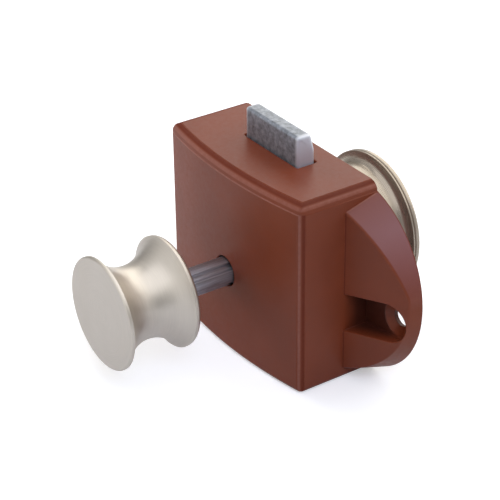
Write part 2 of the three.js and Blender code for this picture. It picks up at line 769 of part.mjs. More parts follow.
function frontBush() {
  const bushFront = frontCrest + bushRecess;
  return turned(points([
    [boreRadius, bushFront],
    [bushRadius, bushFront],
    [bushRadius, bushFlangeFront],
    [bushFlangeRadius, bushFlangeFront],
    [bushFlangeRadius, bushFlangeRear],
    [boreRadius, bushFlangeRear],
    [boreRadius, bushFront],
  ]), 32);
}

// The follower: a bent wire held in a pillar of the case, its tip up in the track.
function followerWire() {
  const path = new THREE.CurvePath();
  const at = (y, z) => new THREE.Vector3(0, y, z);
  const foot = wireHeight - pillarHoleDepth;
  path.add(new THREE.LineCurve3(at(pillarStation, foot), at(pillarStation, wireHeight - wireBend)));
  path.add(new THREE.QuadraticBezierCurve3(
    at(pillarStation, wireHeight - wireBend),
    at(pillarStation, wireHeight),
    at(pillarStation + wireBend, wireHeight),
  ));
  path.add(new THREE.LineCurve3(
    at(pillarStation + wireBend, wireHeight),
    at(tipStation - wireBend, wireHeight),
  ));
  path.add(new THREE.QuadraticBezierCurve3(
    at(tipStation - wireBend, wireHeight),
    at(tipStation, wireHeight),
    at(tipStation, wireHeight + wireBend),
  ));
  path.add(new THREE.LineCurve3(at(tipStation, wireHeight + wireBend), at(tipStation, tipHeight)));
  const section = new THREE.Shape(arc(0, 0, wireRadius, 0, 2 * Math.PI, 8).slice(0, -1));
  return solid(new THREE.ExtrudeGeometry(section, { steps: 40, bevelEnabled: false, extrudePath: path }));
}

// Centre line of the spring about the spindle's axis: a straight end, a bend, the curls, a bend
// and a straight end again.
function springLine() {
  const front = bushFlangeRear + seatGap;
  const rear = springFloor - seatGap;
  const straight = 2 * springWireRadius;
  const first = front + straight + springEndBend;
  const last = rear - straight - springEndBend;
  const line = [];
  const put = (angle, place) => line.push(new THREE.Vector3(
    springMeanRadius * Math.cos(angle),
    place,
    springMeanRadius * Math.sin(angle),
  ));
  const lead = springEndBend / springMeanRadius;
  put(-lead, front);
  put(-lead, front + straight);
  put(-lead * springBendShare, front + straight + springEndBend * springBendShare);
  const steps = curlSteps * springCurls;
  for (let i = 0; i <= steps; i += 1) {
    put((2 * Math.PI * i) / curlSteps, first + ((last - first) * i) / steps);
  }
  const end = 2 * Math.PI * springCurls;
  put(end + lead * springBendShare, rear - straight - springEndBend * springBendShare);
  put(end + lead, rear - straight);
  put(end + lead, rear);
  return line;
}

// A closed tube along a line, with one ring of points at each place.
function tube(line, radius, sides) {
  const normal = new THREE.Vector3(1, 0, 0);
  const rings = line.map((place, i) => {
    const before = line[Math.max(i - 1, 0)];
    const after = line[Math.min(i + 1, line.length - 1)];
    const tangent = after.clone().sub(before).normalize();
    normal.addScaledVector(tangent, -normal.dot(tangent)).normalize();
    const across = tangent.clone().cross(normal);
    return Array.from({ length: sides }, (_, k) => {
      const angle = (2 * Math.PI * k) / sides;
      const point = place.clone().addScaledVector(normal, radius * Math.cos(angle));
      return point.addScaledVector(across, radius * Math.sin(angle));
    });
  });
  return loft(rings);
}

// Least gap between curls that lie at least half a curl apart along the line.
function selfGap(line, radius) {
  let least = Infinity;
  for (let i = 0; i < line.length; i += 1) {
    for (let j = i + curlSteps / 2; j < line.length; j += 1) {
      least = Math.min(least, line[i].distanceTo(line[j]) - 2 * radius);
    }
  }
  return least;
}

function finish(color, roughness, metalness) {
  return new THREE.MeshStandardMaterial({ color, roughness, metalness });
}

const brownPlastic = finish(0x6f3a30, 0.42, 0);
const satinNickel = finish(0xbdb3a8, 0.38, 1);
const bronzeNickel = finish(0xa8987f, 0.35, 1);
const zincCasting = finish(0x85878b, 0.4, 1);
const greyBar = finish(0x686270, 0.45, 1);
const blackPlastic = finish(0x242224, 0.6, 0);
const whitePlastic = finish(0xd9d6cd, 0.55, 0);
const steel = finish(0x9a9ca0, 0.35, 1);

const group = new THREE.Group();

function add(name, shape, material) {
  const mesh = shape.getMesh();
  const geometry = new THREE.BufferGeometry();
  geometry.setAttribute('position', new THREE.BufferAttribute(mesh.vertProperties, 3));
  geometry.setIndex(new THREE.BufferAttribute(mesh.triVerts, 1));
  geometry.computeVertexNormals();
  const piece = new THREE.Mesh(geometry, material);
  piece.name = name;
  group.add(piece);
}

const line = springLine();
const gap = selfGap(line, springWireRadius);
console.log(`main_spring: least gap to itself ${gap.toFixed(2)} mm, over ${leastSelfGap} mm wanted`);

add('case_shell', caseShell(), brownPlastic);
add('back_plate', backPlate(), brownPlastic);
plateScrewPlaces.forEach(([x, z], i) => add(`plate_screw_${i + 1}`, plateScrew(x, z), steel));
add('rosette', rosette(), bronzeNickel);
add('front_bush', frontBush(), blackPlastic);
add('follower_wire', followerWire(), steel);
add('latch_bolt', latchBolt(), zincCasting);
add('spindle', spindle(), greyBar);
add('inner_knob', knob(-1, innerKnobRear), satinNickel);
add('inner_grub_screw', grubScrew(-1, innerKnobRear), steel);
add('outer_knob', knob(1, outerKnobRear), satinNickel);
add('outer_grub_screw', grubScrew(1, outerKnobRear), steel);
add('cam_slider', camSlider(), whitePlastic);
add('left_drive_pin', drivePin(-1), steel);
add('right_drive_pin', drivePin(1), steel);
add('slider_pin', sliderPin(), steel);
add('main_spring', solid(tube(line, springWireRadius, wireSides)), steel);

export default group;
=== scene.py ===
"""Looks of a push lock for a bathroom door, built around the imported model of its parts.

Every size below is in millimetres and every mesh is in metres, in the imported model's own place:
the origin lies on the spindle's axis in the flat back of the case, +Y runs through the door, -Y
points at the inner knob and +Z along the bolt.
"""

from __future__ import annotations

import functools
import logging
import math
from dataclasses import dataclass, field
from enum import Enum
from typing import Sequence, Union

import bmesh
import bpy
import numpy as np
from mathutils import Matrix, Vector


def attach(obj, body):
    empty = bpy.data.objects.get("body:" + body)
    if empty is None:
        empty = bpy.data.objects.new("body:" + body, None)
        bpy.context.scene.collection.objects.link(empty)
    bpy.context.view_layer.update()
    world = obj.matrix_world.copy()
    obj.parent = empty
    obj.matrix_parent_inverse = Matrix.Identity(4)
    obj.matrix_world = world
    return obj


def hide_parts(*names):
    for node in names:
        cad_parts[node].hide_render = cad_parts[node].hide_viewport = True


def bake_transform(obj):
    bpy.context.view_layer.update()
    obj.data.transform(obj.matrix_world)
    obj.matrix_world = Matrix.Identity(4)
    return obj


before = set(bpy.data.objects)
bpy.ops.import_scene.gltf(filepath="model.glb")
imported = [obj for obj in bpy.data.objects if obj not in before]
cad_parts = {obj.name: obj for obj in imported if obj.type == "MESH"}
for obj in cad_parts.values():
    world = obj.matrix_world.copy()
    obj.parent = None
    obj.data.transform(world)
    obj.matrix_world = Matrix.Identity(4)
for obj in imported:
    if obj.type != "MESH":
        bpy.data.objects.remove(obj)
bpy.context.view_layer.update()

log = logging.getLogger("push_lock")

MM = 0.001
QUARTER = math.pi / 2
TURN = 2 * math.pi
MERGE_DISTANCE = 2e-6
AXIS_SKIN = 0.02
FAR = 99.0
GLOSSIER, DULLER = 0.05, 0.06

Colour = tuple[float, float, float]
Value = Union[float, Sequence[float], bpy.types.NodeSocket]


class Way(Enum):
    """Axis that an outline is carried along."""

    ACROSS = "x"
    THROUGH = "y"
    UP = "z"


class Join(Enum):
    """How two solids are put together."""

    ADD = "UNION"
    CUT = "DIFFERENCE"


class Marks(Enum):
    """Direction of the fine marks that a tool leaves on metal."""

    ROUND = "round the spindle's axis"
    ALONG = "along the spindle's axis"
    CAST = "no direction"


# Curves and surfaces


def arc(centre: Sequence[float], radius: float, start: float, end: float, count: int) -> np.ndarray:
    """Points of a circle's arc: the centre plus the radius times cosine and sine of even angles.

    Args:
        centre: middle of the circle.
        radius: its radius.
        start: first angle, in radians.
        end: last angle.
        count: number of steps.

    Returns:
        Array of count + 1 points.
    """
    angle = np.linspace(start, end, count + 1)
    return np.column_stack((centre[0] + radius * np.cos(angle), centre[1] + radius * np.sin(angle)))


def circle(centre: Sequence[float], radius: float, count: int) -> np.ndarray:
    """A whole circle: an arc of one turn, without the point that closes it."""
    return arc(centre, radius, 0, TURN, count)[:-1]


def rectangle(first: Sequence[float], second: Sequence[float]) -> np.ndarray:
    """Anticlockwise corners between a low and a high place on each of two axes."""
    (left, right), (low, high) = first, second
    return np.array([[left, low], [right, low], [right, high], [left, high]], float)


def bent(start: np.ndarray, control: np.ndarray, end: np.ndarray, t: np.ndarray) -> np.ndarray:
    """Quadratic curve: its ends and its control, weighted by the squares of 1 - t and t and by 2t(1 - t).

    Args:
        start: where it starts.
        control: the point that it bends towards.
        end: where it ends.
        t: shares of the way, from 0 to 1.

    Returns:
        Array of points.
    """
    return (1 - t) ** 2 * start + 2 * t * (1 - t) * control + t**2 * end


def softened(outline: np.ndarray, reach: Union[float, Sequence[float]], steps: int = 4) -> np.ndarray:
    """An outline with round corners: each one is a quadratic curve with the corner as its control.

    Args:
        outline: closed polygon, one point to a row.
        reach: how far along both sides a corner's curve starts, one value or one to a corner.
        steps: steps of each curve.

    Returns:
        Array of the curves' points, steps + 1 to a corner.
    """
    outline = np.asarray(outline, float)
    reach = np.broadcast_to(np.asarray(reach, float), len(outline))[:, None]
    before = np.roll(outline, 1, axis=0) - outline
    after = np.roll(outline, -1, axis=0) - outline
    start = outline + before / np.linalg.norm(before, axis=1)[:, None] * reach
    end = outline + after / np.linalg.norm(after, axis=1)[:, None] * reach
    t = np.linspace(0, 1, steps + 1)[None, :, None]
    return bent(start[:, None], outline[:, None], end[:, None], t).reshape(-1, 2)


def evened(path: np.ndarray, count: int) -> np.ndarray:
    """The same path at even steps: each coordinate is interpolated over the length along it.

    Args:
        path: points in order.
        count: number of steps.

    Returns:
        Array of count + 1 points.
    """
    length = np.concatenate(([0], np.cumsum(np.linalg.norm(np.diff(path, axis=0), axis=1))))
    station = np.linspace(0, length[-1], count + 1)
    return np.column_stack([np.interp(station, length, column) for column in path.T])


def inset(outline: np.ndarray, amount: float, closed: bool = True) -> np.ndarray:
    """An outline moved inwards: each point goes along the mean of its sides' left-hand normals.

    Args:
        outline: polygon that turns anticlockwise.
        amount: how far its sides move.
        closed: whether the last point is joined to the first.

    Returns:
        Array of as many points.
    """
    ahead = np.roll(outline, -1, axis=0) - outline
    behind = outline - np.roll(outline, 1, axis=0)
    if not closed:
        ahead[-1] = behind[-1]
        behind[0] = ahead[0]
    ahead = ahead / np.maximum(np.linalg.norm(ahead, axis=1), 1e-9)[:, None]
    behind = behind / np.maximum(np.linalg.norm(behind, axis=1), 1e-9)[:, None]
    mean = ahead + behind
    mean = mean / np.maximum(np.linalg.norm(mean, axis=1), 1e-9)[:, None]
    stretch = np.maximum(np.sum(mean * ahead, axis=1), 0.5)[:, None]
    return outline + np.column_stack((-mean[:, 1], mean[:, 0])) / stretch * amount


def quarter_round(radius: float, steps: int) -> np.ndarray:
    """A quarter round from the end to the side: radius less radius times cosine and sine.

    Args:
        radius: its radius.
        steps: its steps.

    Returns:
        Array of (inset, distance from the end).
    """
    angle = np.linspace(QUARTER, 0, steps + 1)
    return radius - radius * np.column_stack((np.cos(angle), np.sin(angle)))


def threaded(
    low: float, high: float, radius: float, depth: float, count: int, to_a_turn: int
) -> tuple[np.ndarray, np.ndarray]:
    """A thread's side: the radius less the depth times (1 less the cosine of its turn).

    Args:
        low: where it starts along the screw.
        high: where it ends.
        radius: the screw's radius.
        depth: half the thread's depth.
        count: steps along it.
        to_a_turn: steps to a turn of the thread.

    Returns:
        Places along the screw, and the radius at each.
    """
    steps = np.arange(count + 1)
    return np.linspace(low, high, count + 1), radius - depth * (1 - np.cos(TURN * steps / to_a_turn))


def cleaned(mesh: bpy.types.Mesh) -> None:
    """Merges a mesh's doubles, dissolves what has no size and turns its faces outwards.

    Args:
        mesh: the mesh, which is changed.
    """
    work = bmesh.new()
    work.from_mesh(mesh)
    bmesh.ops.remove_doubles(work, verts=work.verts, dist=MERGE_DISTANCE)
    bmesh.ops.dissolve_degenerate(work, edges=work.edges, dist=MERGE_DISTANCE / 10)
    bmesh.ops.recalc_face_normals(work, faces=work.faces)
    work.to_mesh(mesh)
    work.free()


def linked(name: str, data: bpy.types.ID) -> bpy.types.Object:
    """Puts a mesh, a lamp or a camera into the scene.

    Args:
        name: the object's name.
        data: its mesh, lamp or camera.

    Returns:
        The object.
    """
    thing = bpy.data.objects.new(name, data)
    bpy.context.scene.collection.objects.link(thing)
    return thing


def loft(name: str, rings: np.ndarray, looped: bool = False) -> bpy.types.Object:
    """A skin through rings of points: four-sided faces join each ring to the next, point by point.

    Args:
        name: the piece's name.
        rings: array of rings, points and coordinates, in millimetres.
        looped: whether the last ring joins the first. Otherwise flat faces close both ends.

    Returns:
        The object.
    """
    count, around = rings.shape[:2]
    ids = np.arange(count * around).reshape(count, around)
    if looped:
        ids = np.vstack((ids, ids[:1]))
    beside = np.roll(ids, -1, axis=1)
    faces = np.stack((ids[:-1], beside[:-1], beside[1:], ids[1:]), axis=-1).reshape(-1, 4).tolist()
    if not looped:
        faces += [ids[0, ::-1].tolist(), ids[-1].tolist()]
    mesh = bpy.data.meshes.new(name)
    mesh.from_pydata((rings.reshape(-1, 3) * MM).tolist(), [], faces)
    cleaned(mesh)
    return linked(name, mesh)


def placed(first: np.ndarray, second: np.ndarray, along: np.ndarray, way: Way) -> np.ndarray:
    """Two coordinates across an axis and one along it, in the order x, y, z.

    Args:
        first: the first coordinate across.
        second: the second one.
        along: the coordinate along the axis.
        way: direction of the axis.

    Returns:
        Array with the coordinates on its last axis.
    """
    parts = [first, second]
    parts.insert(list(Way).index(way), along)
    return np.stack(parts, axis=-1)


def turned(
    name: str,
    profile: np.ndarray,
    sides: int = 128,
    looped: bool = True,
    way: Way = Way.THROUGH,
    centre: Sequence[float] = (0.0, 0.0, 0.0),
) -> bpy.types.Object:
    """A profile turned about an axis: radius times cosine and sine of even angles, at its place.

    Args:
        name: the piece's name.
        profile: rows of (radius, place along the axis).
        sides: steps round the axis.
        looped: whether the profile is closed. Otherwise it starts and ends on the axis.
        way: direction of the axis.
        centre: a point that the axis passes through, from which places are measured.

    Returns:
        The object.
    """
    angle = np.linspace(0, TURN, sides, endpoint=False)
    radius = profile[:, :1]
    across, up = radius * np.cos(angle), radius * np.sin(angle)
    along = np.broadcast_to(profile[:, 1:], across.shape)
    return loft(name, placed(across, up, along, way) + np.asarray(centre), looped)


def carried(
    name: str,
    outline: np.ndarray,
    way: Way,
    low: float,
    high: float,
    edge: float = 0.0,
    steps: int = 4,
) -> bpy.types.Object:
    """An outline carried along an axis, drawn in along a quarter round at both ends.

    Args:
        name: the piece's name.
        outline: anticlockwise polygon, in (y, z), (x, z) or (x, y).
        way: axis that it is carried along.
        low: where it starts.
        high: where it ends.
        edge: radius of the quarter rounds.
        steps: steps of each quarter round.

    Returns:
        The object.
    """
    rounds = quarter_round(edge, steps) if edge else np.zeros((1, 2))
    shapes = [inset(outline, amount) for amount in rounds[:, 0]]
    places = np.concatenate((low + rounds[:, 1], high - rounds[::-1, 1]))
    flat = np.stack(shapes + shapes[::-1])
    along = np.broadcast_to(places[:, None], flat.shape[:2])
    return loft(name, placed(flat[..., 0], flat[..., 1], along, way))


def tube(name: str, line: np.ndarray, normal: np.ndarray, radius: float, sides: int) -> bpy.types.Object:
    """A round wire along a line: rings of radius times (cosine of the normal plus sine of the cross).

    Args:
        name: the piece's name.
        line: its middle, one point to a row.
        normal: a direction across the line at each point.
        radius: the wire's radius.
        sides: steps round the wire.

    Returns:
        The object.
    """
    tangent = np.gradient(line, axis=0)
    tangent /= np.linalg.norm(tangent, axis=1)[:, None]
    normal = normal - np.sum(normal * tangent, axis=1)[:, None] * tangent
    normal /= np.linalg.norm(normal, axis=1)[:, None]
    cross = np.cross(tangent, normal)
    angle = np.linspace(0, TURN, sides, endpoint=False)[None, :, None]
    rings = line[:, None] + radius * (np.cos(angle) * normal[:, None] + np.sin(angle) * cross[:, None])
    return loft(name, rings)


def block(name: str, x: Sequence[float], y: Sequence[float], z: Sequence[float]) -> bpy.types.Object:
    """A plain block between pairs of places, for cutting."""
    return carried(name, rectangle(x, y), Way.UP, z[0], z[1])


def merged(name: str, pieces: Sequence[bpy.types.Object]) -> bpy.types.Object:
    """Puts the meshes of pieces that lie apart into one object.

    Args:
        name: the new object's name.
        pieces: the objects, which are used up.

    Returns:
        The object.
    """
    whole = bmesh.new()
    for piece in pieces:
        whole.from_mesh(piece.data)
        bpy.data.objects.remove(piece)
    mesh = bpy.data.meshes.new(name)
    whole.to_mesh(mesh)
    whole.free()
    return linked(name, mesh)


def worked(base: bpy.types.Object, join: Join, *tools: bpy.types.Object) -> bpy.types.Object:
    """Adds tools to a solid or cuts them from it, and uses them up.

    Args:
        base: the solid that is changed.
        join: whether the tools are added or cut away.
        tools: solids that lie apart from each other.

    Returns:
        The base, with its new mesh.
    """
    tool = merged("tool", tools)
    modifier = base.modifiers.new("join", "BOOLEAN")
    modifier.operation = join.value
    modifier.solver = "MANIFOLD"
    modifier.object = tool
    shown = base.evaluated_get(bpy.context.evaluated_depsgraph_get())
    mesh = bpy.data.meshes.new_from_object(shown)
    base.modifiers.clear()
    base.data = mesh
    bpy.data.objects.remove(tool)
    return base


def finished(
    piece: bpy.types.Object,
    material: bpy.types.Material,
    body: str,
    slot: str,
    *nodes: str,
    sharp: float = 34.0,
    stretch: tuple[str, tuple[float, float]] | None = None,
) -> bpy.types.Object:
    """Smooths a piece's faces, dresses it and lets it stand for nodes of the model.

    Args:
        piece: the piece.
        material: its finish.
        body: the body that it moves with.
        slot: not used.
        nodes: the nodes that it stands for.
        sharp: edges that turn by more degrees than this stay sharp.
        stretch: if given, the piece keeps its place baked in and joins no body; its values are not read.

    Returns:
        The piece.
    """
    cleaned(piece.data)
    piece.data.polygons.foreach_set("use_smooth", np.ones(len(piece.data.polygons), bool))
    piece.data.set_sharp_from_angle(angle=math.radians(sharp))
    weights = piece.modifiers.new("flat faces stay flat", "WEIGHTED_NORMAL")
    weights.keep_sharp = True
    piece.data.materials.clear()
    piece.data.materials.append(material)
    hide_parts(*nodes)
    if stretch:
        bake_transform(piece)
    else:
        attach(piece, body)
    log.info("%s: %d faces, stands for %s", piece.name, len(piece.data.polygons), ", ".join(nodes))
    return piece


# Finishes


class Tree:
    """Node tree while it is put together."""

    def __init__(self, tree: bpy.types.NodeTree) -> None:
        """Starts with no nodes."""
        self.tree = tree
        self.tree.nodes.clear()

    def add(self, kind: str, *values: Value, **settings: object) -> bpy.types.Node:
        """Adds a node.

        Args:
            kind: the node's type.
            values: what goes into its inputs, in order, with None to leave one as it is.
            settings: the node's own properties.

        Returns:
            The node.
        """
        node = self.tree.nodes.new(kind)
        for key, value in settings.items():
            setattr(node, key, value)
        for socket, value in zip(node.inputs, values):
            self.feed(socket, value)
        return node

    def feed(self, socket: bpy.types.NodeSocket, value: Value) -> None:
        """Links a socket to another one, or sets its value.

        Args:
            socket: an input.
            value: an output to link it to, or its value, or None to leave it as it is.
        """
        if isinstance(value, bpy.types.NodeSocket):
            self.tree.links.new(value, socket)
        elif value is not None:
            socket.default_value = value

    def reckoned(self, operation: str, *values: Value) -> bpy.types.NodeSocket:
        """Result of one operation on numbers."""
        return self.add("ShaderNodeMath", *values, operation=operation).outputs[0]

    def plus(self, first: Value, second: Value) -> bpy.types.NodeSocket:
        """Two numbers together."""
        return self.reckoned("ADD", first, second)

    def less(self, first: Value, second: Value) -> bpy.types.NodeSocket:
        """The first number less the second."""
        return self.reckoned("SUBTRACT", first, second)

    def times(self, first: Value, second: Value) -> bpy.types.NodeSocket:
        """The first number times the second."""
        return self.reckoned("MULTIPLY", first, second)

    def most(self, *values: Value) -> Value:
        """The greatest of some numbers."""
        return functools.reduce(functools.partial(self.reckoned, "MAXIMUM"), values)

    def between(
        self, factor: Value, low: Value, high: Value, start: float = 0.3, end: float = 0.7
    ) -> bpy.types.NodeSocket:
        """A number that goes from low to high as the factor goes from start to end."""
        return self.add("ShaderNodeMapRange", factor, start, end, low, high).outputs[0]


class Recipe(Tree):
    """Node tree of one material, ending in a principled shader."""

    def __init__(self, name: str) -> None:
        """Starts a material with its shader and output.

        Args:
            name: the material's name.
        """
        self.material = bpy.data.materials.new(name)
        self.material.use_nodes = True
        super().__init__(self.material.node_tree)
        self.shader = self.add("ShaderNodeBsdfPrincipled")
        self.output = self.add("ShaderNodeOutputMaterial", self.shader.outputs[0])
        self.place = self.add("ShaderNodeTexCoord").outputs["Object"]

    def stretched(self, scale: Sequence[float]) -> bpy.types.NodeSocket:
        """Place on the piece, in millimetres, with each axis multiplied by its own scale."""
        factors = [value / MM for value in scale]
        return self.add("ShaderNodeVectorMath", self.place, factors, operation="MULTIPLY").outputs[0]

    def round_axis(self, density: float, spread: float) -> bpy.types.NodeSocket:
        """Place for marks that run round the spindle's axis.

        The distance from the axis plus the place along it, times the density, and the direction
        round the axis as cosine and sine, times the spread.

        Args:
            density: marks to a millimetre.
            spread: how often a mark changes on its way round.

        Returns:
            Socket with the place.
        """
        x, y, z = self.add("ShaderNodeSeparateXYZ", self.place).outputs
        radius = self.reckoned("SQRT", self.plus(self.times(x, x), self.times(z, z)))
        safe = self.most(radius, AXIS_SKIN * MM)
        along = self.times(self.plus(radius, y), density / MM)
        cosine = self.times(self.reckoned("DIVIDE", x, safe), spread)
        sine = self.times(self.reckoned("DIVIDE", z, safe), spread)
        return self.add("ShaderNodeCombineXYZ", cosine, along, sine).outputs[0]

    def noise(
        self, place: Value, scale: float, detail: float = 3.0, roughness: float = 0.5
    ) -> bpy.types.NodeSocket:
        """Cloudy noise from 0 to 1 at a place.

        Args:
            place: the place.
            scale: clouds to a unit of it.
            detail: number of finer layers.
            roughness: strength of each finer layer against the one before.

        Returns:
            Socket with the noise.
        """
        node = self.add("ShaderNodeTexNoise")
        values = {"Vector": place, "Scale": scale, "Detail": detail, "Roughness": roughness}
        for name, value in values.items():
            self.feed(node.inputs[name], value)
        return node.outputs["Fac"]

    def blend(self, factor: Value, first: Value, second: Value) -> bpy.types.NodeSocket:
        """A colour between two others.

        Args:
            factor: share of the second colour.
            first: colour at 0.
            second: colour at 1.

        Returns:
            Socket with the colour.
        """
        node = self.add("ShaderNodeMix", data_type="RGBA")
        for name, value in (("Factor_Float", factor), ("A_Color", first), ("B_Color", second)):
            socket = next(s for s in node.inputs if s.identifier == name)
            self.feed(socket, value)
        return next(s for s in node.outputs if s.identifier == "Result_Color")

    def relief(self, layers: Sequence[tuple[Value, float]]) -> bpy.types.NodeSocket:
        """Bumps stacked on each other.

        Args:
            layers: pairs of a height from 0 to 1 and its depth in millimetres.

        Returns:
            Socket with the normal.
        """
        normal = None
        for height, depth in layers:
            bump = self.add("ShaderNodeBump")
            values = {"Strength": 1.0, "Distance": depth * MM, "Height": height, "Normal": normal}
            for name, value in values.items():
                self.feed(bump.inputs[name], value)
            normal = bump.outputs["Normal"]
        return normal

    def paint(self, colour: Value, roughness: Value, metallic: float, normal: Value) -> bpy.types.Material:
        """Feeds the shader.

        Args:
            colour: the surface's own colour.
            roughness: how dull it is.
            metallic: 1 for bare metal and 0 for plastic.
            normal: the relief, or None.

        Returns:
            The material.
        """
        looks = {"Base Color": colour, "Roughness": roughness, "Metallic": metallic, "Normal": normal}
        for name, value in looks.items():
            self.feed(self.shader.inputs[name], value)
        return self.material


def toned(colour: Colour, share: float = 1.0) -> tuple[float, float, float, float]:
    """A colour made lighter or darker by a share, with full cover."""
    return (*(min(1.0, channel * share) for channel in colour), 1.0)


@dataclass(frozen=True)
class MouldedPlastic:
    """Plastic out of a finely eroded mould: a dense grain, faint flow clouds and uneven gloss."""

    name: str
    colour: Colour
    roughness: float = 0.42
    grain: float = 0.004
    grain_density: float = 1 / 0.22
    cloud: float = 0.06
    cloud_relief: float = 0.024
    cloud_density: float = 0.09
    speck_density: float = 0.9
    gloss: float = 0.5

    def material(self) -> bpy.types.Material:
        """Mixes the plastic.

        Returns:
            The material.
        """
        recipe = Recipe(self.name)
        place = recipe.stretched((1, 1, 1))
        clouds = recipe.noise(place, self.cloud_density, detail=2.0)
        fine = recipe.noise(place, self.grain_density, detail=2.0, roughness=0.6)
        specks = recipe.noise(place, self.speck_density, detail=4.0, roughness=0.65)
        tone = recipe.plus(recipe.times(clouds, 0.7), recipe.times(specks, 0.3))
        colour = recipe.blend(
            recipe.between(tone, 0.0, 1.0, start=0.36, end=0.64),
            toned(self.colour, 1 - self.cloud),
            toned(self.colour, 1 + self.cloud),
        )
        roughness = recipe.between(specks, self.roughness - GLOSSIER, self.roughness + DULLER)
        colour, roughness = self.painted_light(recipe, colour, roughness, specks)
        normal = recipe.relief([(clouds, self.cloud_relief), (fine, self.grain)])
        recipe.shader.inputs["Specular IOR Level"].default_value = self.gloss
        return recipe.paint(colour, roughness, metallic=0.0, normal=normal)

    def painted_light(self, recipe: Recipe, colour: Value, roughness: Value, specks: Value) -> tuple[Value, Value]:
        """Colour and roughness with painted light and shade. Plain plastic has none."""
        return colour, roughness


@dataclass(frozen=True)
class Span:
    """Range of one distance on the case, in millimetres, that fades at both ends."""

    of: str
    low: float = -FAR
    high: float = FAR
    soft: float = 0.12

    def mask(self, recipe: Recipe, distances: dict[str, Value]) -> Value:
        """A number that is 1 within the range and 0 outside it: a rising ramp times a falling one.

        Args:
            recipe: the material's tree.
            distances: the distances of a place, by name.

        Returns:
            The number.
        """
        rise = recipe.between(distances[self.of], 0.0, 1.0, self.low - self.soft, self.low + self.soft)
        fall = recipe.between(distances[self.of], 1.0, 0.0, self.high - self.soft, self.high + self.soft)
        return recipe.times(rise, fall)


@dataclass(frozen=True)
class Zone:
    """Part of the case where several distances are in their ranges, and a mark's strength there."""

    spans: tuple[Span, ...]
    share: float = 1.0

    def mask(self, recipe: Recipe, distances: dict[str, Value]) -> Value:
        """The strength times the masks of all its ranges.

        Args:
            recipe: the material's tree.
            distances: the distances of a place, by name.

        Returns:
            A number from 0 to the strength.
        """
        masks = (span.mask(recipe, distances) for span in self.spans)
        return functools.reduce(recipe.times, masks, self.share)


